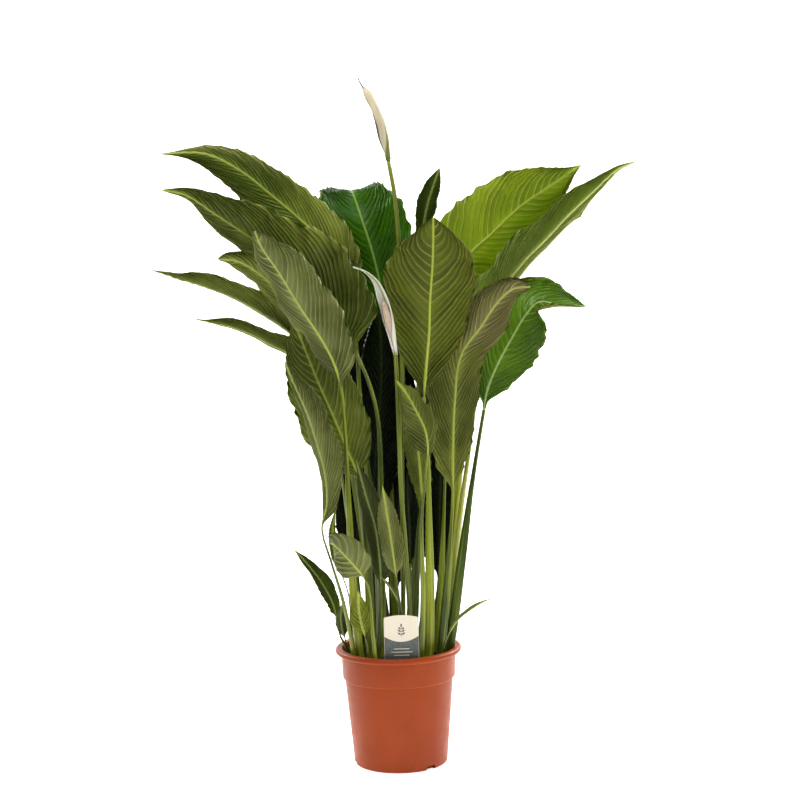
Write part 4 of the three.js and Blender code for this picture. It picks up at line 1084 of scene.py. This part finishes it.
# %% Relief tree
def new_tree(name, floats, materials=()):
    """An empty Geometry Nodes tree with named inputs. Returns it and its group input node."""
    tree = bpy.data.node_groups.new(name, "GeometryNodeTree")
    tree.interface.new_socket("Geometry", in_out="OUTPUT", socket_type="NodeSocketGeometry")
    tree.interface.new_socket("Geometry", in_out="INPUT", socket_type="NodeSocketGeometry")
    for key, value in floats.items():
        socket = tree.interface.new_socket(key, in_out="INPUT", socket_type="NodeSocketFloat")
        socket.default_value = value
    for key in materials:
        tree.interface.new_socket(key, in_out="INPUT", socket_type="NodeSocketMaterial")
    return tree, add(tree, "NodeGroupInput")


def read_attribute(tree, name, kind="FLOAT"):
    """What a mesh stores under that name."""
    return add(tree, "GeometryNodeInputNamedAttribute", {"Name": name}, data_type=kind).outputs[0]


def product(tree, first, *more):
    """Values multiplied with one another."""
    for value in more:
        first = math_node(tree, "MULTIPLY", first, value)
    return first


def make_relief_tree():
    """Pleats between the side veins and ruffles along the edge, along each point's own way out."""
    sizes = {"Pleat Depth": 1.3 * MM, "Ruffle Height": 4 * MM, "Ruffle Length": 38 * MM, "Seed": 0.0}
    tree, given = new_tree("leaf_relief", sizes, ("Under Finish", "Upper Finish", "Stem Finish"))
    vein, across, along, blade = (read_attribute(tree, key) for key in ("vein", "across", "edge", "blade"))
    lift = read_attribute(tree, "lift", "FLOAT_VECTOR")
    off_rib = math_node(tree, "ABSOLUTE", across)
    seed = given.outputs["Seed"]

    wave = math_node(tree, "ABSOLUTE", math_node(tree, "SINE", product(tree, vein, math.pi)))
    rounded = math_node(tree, "SUBTRACT", wave, 0.6)
    spread = {0: product(tree, vein, 0.3), 1: product(tree, across, 1.2), 2: seed}
    uneven = noise(tree, add(tree, "ShaderNodeCombineXYZ", spread).outputs[0])
    depth = product(tree, given.outputs["Pleat Depth"], product(tree, uneven, 2.0))
    pleat = product(tree, rounded, depth, map_value(tree, off_rib, 0.03, 0.22))

    steps = math_node(tree, "DIVIDE", along, given.outputs["Ruffle Length"])
    spread = {0: steps, 1: product(tree, math_node(tree, "SIGN", across), 7.0), 2: seed}
    swing = noise(tree, add(tree, "ShaderNodeCombineXYZ", spread).outputs[0], detail=1.0)
    swing = product(tree, math_node(tree, "SUBTRACT", swing, 0.5), 2.0)
    outer = math_node(tree, "POWER", off_rib, 2.2)
    ruffle = product(tree, swing, outer, given.outputs["Ruffle Height"])

    height = product(tree, math_node(tree, "ADD", pleat, ruffle), blade)
    offset = add(tree, "ShaderNodeVectorMath", {0: lift, "Scale": height}, operation="SCALE").outputs[0]
    moved = add(tree, "GeometryNodeSetPosition", {"Geometry": given.outputs["Geometry"], "Offset": offset})
    real = add(tree, "GeometryNodeRealizeInstances", {0: moved.outputs[0]}).outputs[0]
    finish = read_attribute(tree, "finish", "INT")
    for place, key in ((UPPER, "Upper Finish"), (UNDER, "Under Finish"), (STEM, "Stem Finish")):
        same = add(tree, "FunctionNodeCompare", {2: finish, 3: place}, data_type="INT", operation="EQUAL")
        chosen = {"Geometry": real, "Selection": same.outputs[0], "Material": given.outputs[key]}
        real = add(tree, "GeometryNodeSetMaterial", chosen).outputs[0]
    add(tree, "NodeGroupOutput", {0: real})
    return tree


def bake_nodes(piece, tree, values):
    """Runs a Geometry Nodes tree on a piece and keeps the result as its plain mesh."""
    modifier = piece.modifiers.new(tree.name, "NODES")
    modifier.node_group = tree
    for item in tree.interface.items_tree:
        if item.in_out == "INPUT" and item.name in values:
            modifier[item.identifier] = values[item.name]
    graph = bpy.context.evaluated_depsgraph_get()
    baked = bpy.data.meshes.new_from_object(piece.evaluated_get(graph))
    before = piece.data
    piece.modifiers.clear()
    piece.data = baked
    bpy.data.meshes.remove(before)
    return piece


def drop_attributes(mesh, names):
    """Takes away what only the baking needed."""
    for name in names:
        if name in mesh.attributes:
            mesh.attributes.remove(mesh.attributes[name])


relief = make_relief_tree()

# %% [markdown]
# Each leaf is grown from its row of the table. Large leaves are pleated and ruffled more deeply than
# small ones, and each has a seed of its own.

# %% Grow the leaves
def dress(piece, slot, *nodes):
    """The piece rides on the plant and stands for its nodes, which are hidden. slot is not used."""
    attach(piece, "root")
    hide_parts(*nodes)


LARGE_HALF = 50  # half width in millimetres from which a leaf has its full relief
triangles = 0
for number, (name, leaf) in enumerate(LEAVES.items()):
    skin = join_scene(name + "_grown", leaf_skin(name + "_grown", leaf))
    size = min(1.0, leaf["half"] / LARGE_HALF)
    under, upper, stem = look_of.get(name, USUAL)
    bake_nodes(skin, relief, {
        "Pleat Depth": (0.9 + 2.7 * size) * MM, "Ruffle Height": (2 + 12 * size) * MM, "Seed": 3.7 * number,
        "Under Finish": finishes[under], "Upper Finish": finishes[upper], "Stem Finish": finishes[stem],
    })
    drop_attributes(skin.data, ["vein", "across", "edge", "blade", "lift", "finish"])
    dress(skin, "leaf", name)
    triangles += sum(len(p.vertices) - 2 for p in skin.data.polygons)
print("leaves grown:", len(LEAVES), "with", triangles, "triangles")

# %% [markdown]
# ## Blooms
#
# A peace lily's flower is a spadix, a finger of tiny florets, held in a spathe, a leaf that wraps round
# it like a hood. The stalk and the spathe are skins over rings again. The florets repeat hundreds of
# times in slanting rows, so Geometry Nodes put one small dome on every point of a smooth core.

# %% Bloom table
BLOOMS = {
    "upper_bloom": {
        "stalk": [(8, 10, 162), (12, 8, 350), (15, 2, 541), (20, -8, 746), (19, -12, 884),
                  (14, -12, 970), (5, -12, 1030)],
        "axis": [(5, -12, 1030), (-3, -12, 1066), (-10, -12, 1096), (-20, -13, 1121), (-31, -14, 1144),
                 (-37, -15, 1155), (-42, -16, 1166)],
        "opens": (-1, 0.2, 0), "wrap": 126, "swell": (0.3, 0.76, 0.92),
        "core": 90, "core_radius": 7.6,
    },
    "lower_bloom": {
        "stalk": [(20, -45, 162), (21, -50, 268), (17, -58, 376), (12, -68, 484), (11, -76, 569),
                  (10, -84, 650), (9, -90, 712)],
        "axis": [(9, -90, 712), (0, -93, 762), (-9, -96, 800), (-21, -99, 833), (-38, -101, 851),
                 (-57, -103, 859)],
        "opens": (-0.35, -0.9, 0), "wrap": 113, "swell": (0.4, 0.5, 0.95),
        "core": 90, "core_radius": 7,
    },
}

# %% [markdown]
# The flower's stalk is a smooth round shoot without leaves, a little thinner at the top. Sixteen points a
# ring are enough for something as thin as a pencil.

# %% Stalks
STALK_RADIUS = {"foot": 4.4, "top": 3.4}  # in millimetres
STALK_ROW = 12 * MM


def round_rings(spine, distances, radii, face, sides=16):
    """Rings of points round a spine."""
    angles = np.linspace(0, 2 * math.pi, sides, endpoint=False)
    at, _, out, side = spine.frame(distances, np.array(face, float))
    ring = side[:, None] * np.cos(angles)[None, :, None] + out[:, None] * np.sin(angles)[None, :, None]
    return at[:, None] + ring * np.asarray(radii)[:, None, None], angles


def grow_stalk(name, bloom):
    """A round stalk that narrows evenly from the soil to the bloom."""
    spine = Spine(bloom["stalk"])
    distances = np.linspace(0, spine.length, max(20, round(spine.length / STALK_ROW)))
    share = distances / spine.length
    radii = (STALK_RADIUS["foot"] + (STALK_RADIUS["top"] - STALK_RADIUS["foot"]) * share) * MM
    places, angles = round_rings(spine, distances, radii, (0, 1, 0))
    mesh = ring_mesh(name, places, radii[:, None] * angles, distances[:, None] + 0 * angles)
    mesh.materials.append(bloom_stalk)
    return join_scene(name, mesh)


# %% [markdown]
# The spathe clasps the stalk at its base, opens to one side, and ends in a drawn-out point. So each ring
# is an arc round the bloom's axis, and the angle it covers shrinks as the hood opens. Two skins a
# fraction of a millimetre apart make it a thin solid with a rounded edge and a raised spine.

# %% Hoods
HOOD_ROWS = 48
HOOD_COLUMNS = 10  # to each side of the spine
HOOD_CLEARANCE = 1.4  # from the spadix to the hood, in millimetres
HOOD_SLIMMEST = 0.6  # least radius, in millimetres
HOOD_FOOT = 0.36  # radius at its foot over the greatest, before it swells
HOOD_DRAWN = 0.93  # how much of the radius is gone where it is drawn out to a point
HOOD_CLOSED = 176  # degrees that it reaches round to each side at its base
HOOD_OPENS = {"upper_bloom": (0.0, 0.1), "lower_bloom": (0.12, 0.4)}  # shares of its length where it opens
HOOD_EDGE_BACK = {"upper_bloom": 0.17, "lower_bloom": 0.04}  # share of its wrap, half way along
HOOD_INNER = 0.05 * MM  # from its own radius to its inner skin,
HOOD_OUTER = 0.75 * MM  # and to its outer one
HOOD_RIPPLE = 0.5 * MM  # height of the waves of its free edge
HOOD_RIPPLES = 26  # radians of them, from the foot to the tip
KEEL = 0.5 * MM  # height of the spine along its back
KEEL_WIDTH = 0.08  # over its wrap


def hood_radius(bloom, s):
    """Inner radius at share s of its length: swells from the foot, and is drawn out to a point."""
    full, narrows, drawn = bloom["swell"]
    rise = HOOD_FOOT + (1 - HOOD_FOOT) * ease(s, -0.04, full)
    fall = 1 - HOOD_DRAWN * ease(s, narrows, drawn)
    return np.maximum(HOOD_SLIMMEST, (bloom["core_radius"] + HOOD_CLEARANCE) * rise * fall) * MM


def grow_hood(name, bloom, opens, edge_back, finish):
    """A thin shell round the bloom's axis: almost a tube at its base, and open to one side above."""
    spine = Spine(bloom["axis"])
    s = np.linspace(0, 1, HOOD_ROWS + 1)[:, None]
    u = np.linspace(-1, 1, 2 * HOOD_COLUMNS + 1)
    at, _, out, side = spine.frame(s * spine.length + 0 * u, np.array(bloom["opens"], float))
    reach = HOOD_CLOSED + (bloom["wrap"] - HOOD_CLOSED) * ease(s, *opens)
    wrap = np.radians(reach * (1 - edge_back * np.sin(math.pi * s))) * u
    ripple = HOOD_RIPPLE * u**4 * np.sin(HOOD_RIPPLES * s + 2 * np.sign(u)) * np.sin(math.pi * s)
    radius = hood_radius(bloom, s) + ripple
    edge = np.sqrt(1 - u**8)
    keel = KEEL * np.exp(-((u / KEEL_WIDTH) ** 2)) * (1 - s)
    skins = []
    for more in (HOOD_INNER * edge, HOOD_OUTER * edge + keel):
        r = (radius + more)[..., None]
        skins.append(at + side * np.sin(wrap)[..., None] * r - out * np.cos(wrap)[..., None] * r)
    across = around(radius * wrap, radius * wrap)
    mesh = ring_mesh(name, around(*skins), across, s + 0 * across)
    mesh.materials.append(finish)
    return join_scene(name, mesh)


# %% [markdown]
# Florets stand in slanting rows, each in the gap between two of the row below. The core's mesh has its
# points in just that pattern, every second ring turned by half a step, so one dome on each point is
# enough. Random widths keep the rows from looking turned on a lathe.

# %% Spadix
FLORET = 2.3 * MM  # from one floret to the next
FLORET_WIDTHS = (0.92, 1.12)  # least and greatest, over FLORET
SPADIX_ROUND = 18  # florets round
SPADIX_ROW = 0.87 * FLORET  # from one row to the next, as circles pack
SPADIX_INSET = 0.6 * MM  # of the first and the last row
SPADIX_CORE = 0.75 * MM  # from the tops of the florets in to the core


def make_floret_tree():
    """One dome on every point of the core, turned to face away from it."""
    tree, given = new_tree("spadix_florets", {"Floret Size": FLORET, "Floret Height": 0.9 * MM}, ("Finish",))
    core = given.outputs["Geometry"]
    dome = add(tree, "GeometryNodeMeshIcoSphere", {"Radius": 0.5, "Subdivisions": 2}).outputs["Mesh"]
    normal = add(tree, "GeometryNodeInputNormal").outputs[0]
    turned = add(tree, "FunctionNodeAlignRotationToVector", {"Vector": normal}, axis="Z").outputs[0]
    low, high = (product(tree, given.outputs["Floret Size"], width) for width in FLORET_WIDTHS)
    width = add(tree, "FunctionNodeRandomValue", {2: low, 3: high, "Seed": 4}, data_type="FLOAT").outputs[1]
    tall = product(tree, given.outputs["Floret Height"], 2.0)
    size = add(tree, "ShaderNodeCombineXYZ", {0: width, 1: width, 2: tall}).outputs[0]
    placed = {"Points": core, "Instance": dome, "Rotation": turned, "Scale": size}
    florets = add(tree, "GeometryNodeInstanceOnPoints", placed).outputs[0]
    both = add(tree, "GeometryNodeJoinGeometry")
    for part in (core, florets):
        tree.links.new(part, both.inputs[0])
    real = add(tree, "GeometryNodeRealizeInstances", {0: both.outputs[0]}).outputs[0]
    smooth = add(tree, "GeometryNodeSetShadeSmooth", {0: real}).outputs[0]
    finish = {"Geometry": smooth, "Material": given.outputs["Finish"]}
    add(tree, "NodeGroupOutput", {0: add(tree, "GeometryNodeSetMaterial", finish).outputs[0]})
    return tree


def grow_spadix(name, bloom, tree, finish):
    """A blunt core inside the hood, whose points stand in slanting rows, with a floret on each."""
    spine = Spine(bloom["axis"])
    core = bloom["core"] * MM
    s = np.linspace(0, 1, round(core / SPADIX_ROW) + 1)
    distances = SPADIX_INSET + s * (core - 2 * SPADIX_INSET)
    blunt = np.sin(np.pi * (0.16 + 0.8 * s)) ** 0.4 * bloom["core_radius"] * MM
    room = hood_radius(bloom, distances / spine.length) - HOOD_CLEARANCE * MM
    body = np.minimum(blunt, room) - SPADIX_CORE
    places, angles = round_rings(spine, distances, body, bloom["opens"], SPADIX_ROUND)
    half_step = np.roll(places, -1, axis=1) / 2 + places / 2
    places[1::2] = half_step[1::2]
    shares = s[:, None] + 0 * angles
    return bake_nodes(join_scene(name, ring_mesh(name, places, shares, shares)), tree, {"Finish": finish})


# %% [markdown]
# Stalk, hood and spadix stay three pieces, because each has its own colour and finish.

# %% Grow the blooms
floret_tree = make_floret_tree()
for name, bloom in BLOOMS.items():
    spathe, florets = BLOOM_FINISH[name]
    dress(grow_stalk(name + "_stem", bloom), "stalk", name + "_stalk")
    hood = grow_hood(name + "_hood", bloom, HOOD_OPENS[name], HOOD_EDGE_BACK[name], spathe)
    dress(hood, name + "_spathe", name + "_spathe")
    dress(grow_spadix(name + "_florets", bloom, floret_tree, florets), "spadix", name + "_spadix")
print("blooms grown:", ", ".join(BLOOMS))

# %% [markdown]
# ## The pot
#
# A moulded pot is a turned shape, so its wall is one profile carried round the axis. The profile is
# drawn once, outside and inside, with the rolled rim, the ledge under the collar and the rounded foot.

# %% Pot profile
_, pot_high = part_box("pot")
RIM_RADIUS = pot_high.x
POT_HEIGHT = pot_high.z
# Radii and heights of the pot: its foot, wall and floor, then the ledge, the collar over it and the rim.
POT = {
    "base": 80 * MM, "foot_round": 4 * MM, "hollow": 22 * MM, "wall": 2 * MM, "floor": 3 * MM,
    "ledge": 152 * MM, "ledge_slope": 3 * MM, "ledge_radius": 93 * MM, "ledge_round": 1.4 * MM,
    "collar": 96.4 * MM, "collar_top": 98 * MM, "collar_round": 1.0 * MM,
    "rim_height": 10 * MM, "lip_round": 2.2 * MM,
}


def arc(center, radius, start, end, steps):
    """Points of an arc, with its angles in degrees."""
    angles = np.radians(np.linspace(start, end, steps))
    return [(center[0] + radius * math.cos(a), center[1] + radius * math.sin(a)) for a in angles]


def pot_profile():
    """The pot's section, from the middle of its underside round the rim to the middle of its floor."""
    p = POT
    rim_foot = POT_HEIGHT - p["rim_height"]
    rim_round = p["rim_height"] / 2
    inside = p["collar_top"] - p["wall"]
    foot, lip, collar = p["foot_round"], p["lip_round"], p["collar_round"]
    outer = [(0.0, 0.0), (p["base"] - p["hollow"], 0.0)]
    outer += arc((p["base"] - foot, foot), foot, -90, -4, 7)
    outer += [(p["ledge_radius"] - 0.3 * MM, p["ledge"] - p["ledge_slope"] - 1.5 * MM)]
    outer += arc((p["ledge_radius"] + 0.9 * MM, p["ledge"] - 1.2 * MM), p["ledge_round"], -150, -80, 5)
    outer += arc((p["collar"] - collar, p["ledge"]), collar, -60, 0, 4)
    outer += [(p["collar_top"], rim_foot - 1.0 * MM)]
    outer += arc((RIM_RADIUS - rim_round, rim_foot + rim_round), rim_round, -100, 90, 20)
    outer += arc((inside + lip, POT_HEIGHT - lip), lip, 90, 180, 6)
    inner = [(p["collar"] - p["wall"], p["ledge"])]
    inner += [(p["ledge_radius"] - p["wall"], p["ledge"] - p["ledge_slope"])]
    inner += [(p["base"] - p["wall"], p["floor"]), (0.0, p["floor"])]
    return outer + inner


def turn_profile(name, profile, steps):
    """A closed body from a profile that starts and ends on the axis."""
    turned = profile[1:-1]
    points = [(0.0, 0.0, profile[0][1]), (0.0, 0.0, profile[-1][1])]
    faces = []
    for step in range(steps):
        angle = 2 * math.pi * step / steps
        points += [(r * math.cos(angle), r * math.sin(angle), z) for r, z in turned]
        here, after = (2 + len(turned) * (s % steps) for s in (step, step + 1))
        faces.append((0, after, here))
        for k in range(len(turned) - 1):
            faces.append((here + k, after + k, after + k + 1, here + k + 1))
        faces.append((here + len(turned) - 1, after + len(turned) - 1, 1))
    mesh = bpy.data.meshes.new(name)
    mesh.from_pydata(points, [], faces)
    return mesh


# %% [markdown]
# Water leaves the pot through three notches at its foot. They are cut with Boolean modifiers from blocks
# with rounded edges, as the slides of a mould would leave them.

# %% Pot with its notches
POT_STEPS = 160
NOTCH = {"width": 19 * MM, "height": 7.5 * MM, "depth": 9 * MM, "round": 1.2 * MM,
         "first": math.radians(-50.5), "count": 3}
SHARP = math.radians(40)  # edges that turn more than this stay crisp


def notch_cutter(number):
    """A block with rounded long edges, across the foot of the pot."""
    cut = bmesh.new()
    bmesh.ops.create_cube(cut, size=1.0)
    bmesh.ops.scale(cut, vec=(2 * NOTCH["depth"], NOTCH["width"], 2 * NOTCH["height"]), verts=cut.verts)
    long_edges = [e for e in cut.edges if abs((e.verts[0].co - e.verts[1].co).x) > NOTCH["depth"]]
    bmesh.ops.bevel(cut, geom=long_edges, offset=NOTCH["round"], segments=3, affect="EDGES", profile=0.5)
    bmesh.ops.translate(cut, vec=(POT["base"], 0, 0), verts=cut.verts)
    turn = Matrix.Rotation(NOTCH["first"] + 2 * math.pi / NOTCH["count"] * number, 3, "Z")
    bmesh.ops.rotate(cut, cent=(0, 0, 0), matrix=turn, verts=cut.verts)
    mesh = bpy.data.meshes.new("notch_cutter")
    cut.to_mesh(mesh)
    cut.free()
    return join_scene("notch_cutter", mesh)


def make_pot():
    """Turns the profile, cuts the notches and bakes the result."""
    pot = join_scene("nursery_pot", turn_profile("nursery_pot", pot_profile(), POT_STEPS))
    cutters = [notch_cutter(number) for number in range(NOTCH["count"])]
    for cutter in cutters:
        modifier = pot.modifiers.new("notch", "BOOLEAN")
        modifier.object = cutter
        modifier.operation = "DIFFERENCE"
    graph = bpy.context.evaluated_depsgraph_get()
    cut_mesh = bpy.data.meshes.new_from_object(pot.evaluated_get(graph))
    pot.modifiers.clear()
    pot.data = cut_mesh
    for cutter in cutters:
        bpy.data.objects.remove(cutter)
    cut_mesh.shade_smooth()
    cut_mesh.set_sharp_from_angle(angle=SHARP)
    cut_mesh.materials.clear()
    cut_mesh.materials.append(pot_plastic)
    return pot


pot = make_pot()
dress(pot, "pot", "pot")
print("pot faces:", len(pot.data.polygons))

# %% [markdown]
# ## The soil
#
# Peat is a heap of crumbs that has settled to an uneven level. Its body is a turned disc, and only the
# top of it is seen, so only that is given relief.

# %% Soil
soil_low, soil_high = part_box("soil")
SOIL_RADIUS = soil_high.x
SOIL_BOTTOM_RADIUS = 70 * MM
SOIL_TOP = 185 * MM
SOIL_SIDE = 146 * MM  # height up to which the side slopes out
SOIL_SIDE_IN = 2.5 * MM  # how far the side stays inside the top there
SOIL_RELIEF = 1.6 * MM
SOIL_RINGS = 30
SOIL_STEPS = 96


def soil_disc():
    """The body of the soil: rings over the top, then the side and the flat bottom."""
    profile = [(0.0, soil_low.z), (SOIL_BOTTOM_RADIUS, soil_low.z), (SOIL_RADIUS - SOIL_SIDE_IN, SOIL_SIDE)]
    profile += [(float(r), SOIL_TOP) for r in np.linspace(0, SOIL_RADIUS, SOIL_RINGS)[::-1]]
    mesh = turn_profile("potting_soil", profile, SOIL_STEPS)
    places = np.empty(3 * len(mesh.vertices), np.float32)
    mesh.vertices.foreach_get("co", places)
    places = places.reshape(-1, 3)
    x, y = places[:, 0] / MM, places[:, 1] / MM
    # Crossed swells, a few centimetres long.
    relief = np.sin(x * 0.11 + 1) * np.cos(y * 0.13) + 0.5 * np.sin(x * 0.05 - y * 0.23)
    places[:, 2] += np.where(places[:, 2] > SOIL_TOP - 0.1 * MM, SOIL_RELIEF * relief, 0)
    mesh.vertices.foreach_set("co", places.ravel())
    mesh.update()
    return mesh


# %% [markdown]
# Geometry Nodes strew lumps of three sizes over the top: many small crumbs of peat, some larger ones, and
# a few white grains of perlite. Each lump is a rough ball of few faces, because it is repeated so often.

# %% Crumbs
# Input that sets the size, how many to the square metre, material and seed of each kind of lump.
LUMPS = (
    ("Crumb Size", 90000.0, peat, 11),
    ("Lump Size", 7000.0, peat, 12),
    ("Grain Size", 3500.0, perlite, 13),
)
LUMP_SIZES = (0.5, 1.35)  # least and greatest, over the input
FULL_TURN = (6.3, 6.3, 6.3)


def make_crumb_tree():
    """Lumps of each kind over the top of the soil, joined with its body."""
    sizes = {"Crumb Size": 3.2 * MM, "Lump Size": 7 * MM, "Grain Size": 2.6 * MM, "Top": SOIL_TOP - 4 * MM,
             "Seed": 2.0}
    tree, given = new_tree("soil_crumbs", sizes)
    body = given.outputs["Geometry"]
    height, facing = (
        add(tree, "ShaderNodeSeparateXYZ", {0: add(tree, "GeometryNodeInput" + what).outputs[0]}).outputs["Z"]
        for what in ("Position", "Normal")
    )
    on_top = product(tree, math_node(tree, "GREATER_THAN", height, given.outputs["Top"]),
                     math_node(tree, "GREATER_THAN", facing, 0.5))
    ball = add(tree, "GeometryNodeMeshIcoSphere", {"Radius": 0.5, "Subdivisions": 2}).outputs["Mesh"]
    bent = add(tree, "ShaderNodeTexNoise", {"Scale": 1.7, "Detail": 2.0}).outputs["Color"]
    middle = {0: bent, 1: (0.5, 0.5, 0.5)}
    shift = add(tree, "ShaderNodeVectorMath", middle, operation="SUBTRACT").outputs[0]
    rough = add(tree, "GeometryNodeSetPosition", {"Geometry": ball, "Offset": shift}).outputs[0]
    joined = add(tree, "GeometryNodeJoinGeometry")
    soil = add(tree, "GeometryNodeSetMaterial", {"Geometry": body, "Material": peat}).outputs[0]
    tree.links.new(soil, joined.inputs[0])
    for key, density, material, seed in LUMPS:
        spread = {"Mesh": body, "Selection": on_top, "Density": density, "Seed": seed}
        points = add(tree, "GeometryNodeDistributePointsOnFaces", spread).outputs[0]
        turn = add(tree, "FunctionNodeRandomValue", {1: FULL_TURN, "Seed": seed}, data_type="FLOAT_VECTOR")
        small, big = (product(tree, given.outputs[key], share) for share in LUMP_SIZES)
        chance = {2: small, 3: big, "Seed": seed + 1}
        size = add(tree, "FunctionNodeRandomValue", chance, data_type="FLOAT").outputs[1]
        lump = {"Points": points, "Instance": rough, "Rotation": turn.outputs[0], "Scale": size}
        lumps = add(tree, "GeometryNodeInstanceOnPoints", lump).outputs[0]
        real = add(tree, "GeometryNodeRealizeInstances", {0: lumps}).outputs[0]
        colored = add(tree, "GeometryNodeSetMaterial", {"Geometry": real, "Material": material}).outputs[0]
        tree.links.new(colored, joined.inputs[0])
    add(tree, "NodeGroupOutput", {0: joined.outputs[0]})
    return tree


soil = bake_nodes(join_scene("potting_soil", soil_disc()), make_crumb_tree(), {})
dress(soil, "soil", "soil")
print("soil faces:", len(soil.data.polygons))

# %% [markdown]
# ## The label
#
# A stick-in card with rounded corners and a gently arched top narrows to a stake in the soil. It is
# printed in two flat colours: a cream shield with a curved lower edge over a slate ground. Its outlines
# are lists of points with quadratic curves between them, which is all that a flat card needs.

# %% Outlines of the label
LABEL = {
    "width": 58 * MM, "top": 272 * MM, "arch": 3 * MM, "shoulder": 196 * MM, "stake": 20 * MM,
    "foot": 160 * MM, "point": 8 * MM, "neck": 6 * MM, "thickness": 0.8 * MM, "corner": 4 * MM,
    "x": 6 * MM, "y": -86 * MM,
}
SLATE = {"margin": 0.4 * MM, "low": 1 * MM, "side": 239 * MM, "sag": 19 * MM}


def curve(a, control, b, steps=8):
    """Points of a quadratic curve, without its first point."""
    made = []
    for i in range(1, steps + 1):
        t = i / steps
        share = ((1 - t) ** 2, 2 * t * (1 - t), t * t)
        made.append(tuple(sum(f * v for f, v in zip(share, triple)) for triple in zip(a, control, b)))
    return made


def card_outline():
    """The whole card, from the point of its stake up the right side and round."""
    half, stake, top, corner = LABEL["width"] / 2, LABEL["stake"] / 2, LABEL["top"], LABEL["corner"]
    shoulder = LABEL["shoulder"]
    neck, point = shoulder - LABEL["neck"], LABEL["foot"] + LABEL["point"]
    points = [(0, LABEL["foot"]), (stake, point), (stake, neck), (half, shoulder), (half, top - corner)]
    points += curve(points[-1], (half, top), (half - corner, top))
    points += curve(points[-1], (0, top + 2 * LABEL["arch"]), (-half + corner, top), 16)
    points += curve(points[-1], (-half, top), (-half, top - corner))
    points += [(-half, shoulder), (-stake, neck), (-stake, point)]
    return points


def slate_outline():
    """The darker ground below the shield's curved edge."""
    half = LABEL["width"] / 2 - SLATE["margin"]
    low, side = LABEL["shoulder"] + SLATE["low"], SLATE["side"]
    return [(-half, low), (half, low), (half, side)] + curve(
        (half, side), (0, side - SLATE["sag"]), (-half, side), 24)


def leaf_mark(x, z, angle, length, width, steps=12):
    """A small pointed leaf of the sprig."""
    along = np.array([math.cos(angle), math.sin(angle)])
    across = np.array([-along[1], along[0]])
    points = []
    for side, order in ((1, range(steps + 1)), (-1, range(steps - 1, 0, -1))):
        for t in (i / steps for i in order):
            bulge = side * width * math.sin(math.pi * t) ** 0.8
            points.append(tuple(np.array([x, z]) + along * length * t + across * bulge))
    return points[::-1]


# %% [markdown]
# The shield carries a plain sprig of leaves, and the ground three thin rules. The print is thin layers
# of mesh, less than a tenth of a millimetre proud of the card, so the colours meet at crisp edges.

# %% Label
PRINT = 0.06 * MM  # how far the ink stands out
INK_BACK = 0.02 * MM  # how far it reaches into the card
CREAM, SLATE_INK, LINE_INK, RULE_INK = range(4)  # the places of the label's finishes
LEAF_WIDTH = 1.5 * MM  # half width of a leaf of the sprig
LEAF_START = 0.5 * MM  # from the middle of the twig
LEAF_LEAN = math.radians(56)
# In millimetres: corners of the twig, heights and lengths of its leaves, heights and half lengths of rules.
TWIG = ((-0.35, 238), (0.35, 238), (0.2, 256), (-0.2, 256))
TOP_LEAF = (254, 7)
PAIRS = ((241.5, 7.0), (246.5, 6.6), (251.0, 5.6))
RULES = ((217, 13), (211.5, 18), (206, 13))
RULE_THICK = 1.1 * MM


def plate(form, points, front, back, material):
    """Adds a closed plate with that outline to a bmesh. front and back are its places along Y."""
    ahead = [form.verts.new((LABEL["x"] + x, front, z)) for x, z in points]
    behind = [form.verts.new((LABEL["x"] + x, back, z)) for x, z in points]
    faces = [form.faces.new(ahead), form.faces.new(behind[::-1])]
    for i in range(len(points)):
        j = (i + 1) % len(points)
        faces.append(form.faces.new((ahead[j], ahead[i], behind[i], behind[j])))
    for face in faces:
        face.material_index = material


def sprig_outlines():
    """The twig's own leaf at its top, and three pairs of leaves below."""
    height, length = TOP_LEAF
    marks = [leaf_mark(0, height * MM, math.pi / 2, length * MM, LEAF_WIDTH)]
    for height, length in PAIRS:
        for side in (-1, 1):
            angle = math.pi / 2 - side * LEAF_LEAN
            marks.append(leaf_mark(side * LEAF_START, height * MM, angle, length * MM, LEAF_WIDTH))
    return marks


def make_label():
    """The card, and on its front the slate ground, the sprig and the rules."""
    form = bmesh.new()
    front = LABEL["y"] - LABEL["thickness"] / 2 + PRINT
    back = LABEL["y"] + LABEL["thickness"] / 2
    ink, proud = front - PRINT, front - 1.5 * PRINT
    plate(form, card_outline(), front, back, CREAM)
    plate(form, slate_outline(), ink, front + INK_BACK, SLATE_INK)
    plate(form, [(x * MM, z * MM) for x, z in TWIG], proud, front + INK_BACK, LINE_INK)
    for mark in sprig_outlines():
        plate(form, mark, ink, front + INK_BACK, LINE_INK)
    for z, half in ((z * MM, half * MM) for z, half in RULES):
        rule = [(-half, z), (half, z), (half, z + RULE_THICK), (-half, z + RULE_THICK)]
        plate(form, rule, proud, ink + INK_BACK, RULE_INK)
    bmesh.ops.recalc_face_normals(form, faces=form.faces)
    mesh = bpy.data.meshes.new("plant_card")
    form.to_mesh(mesh)
    form.free()
    for material in (label_cream, label_slate, label_line, label_cream):
        mesh.materials.append(material)
    return join_scene("plant_card", mesh)


label = make_label()
dress(label, "label", "plant_label")
print("label faces:", len(label.data.polygons))
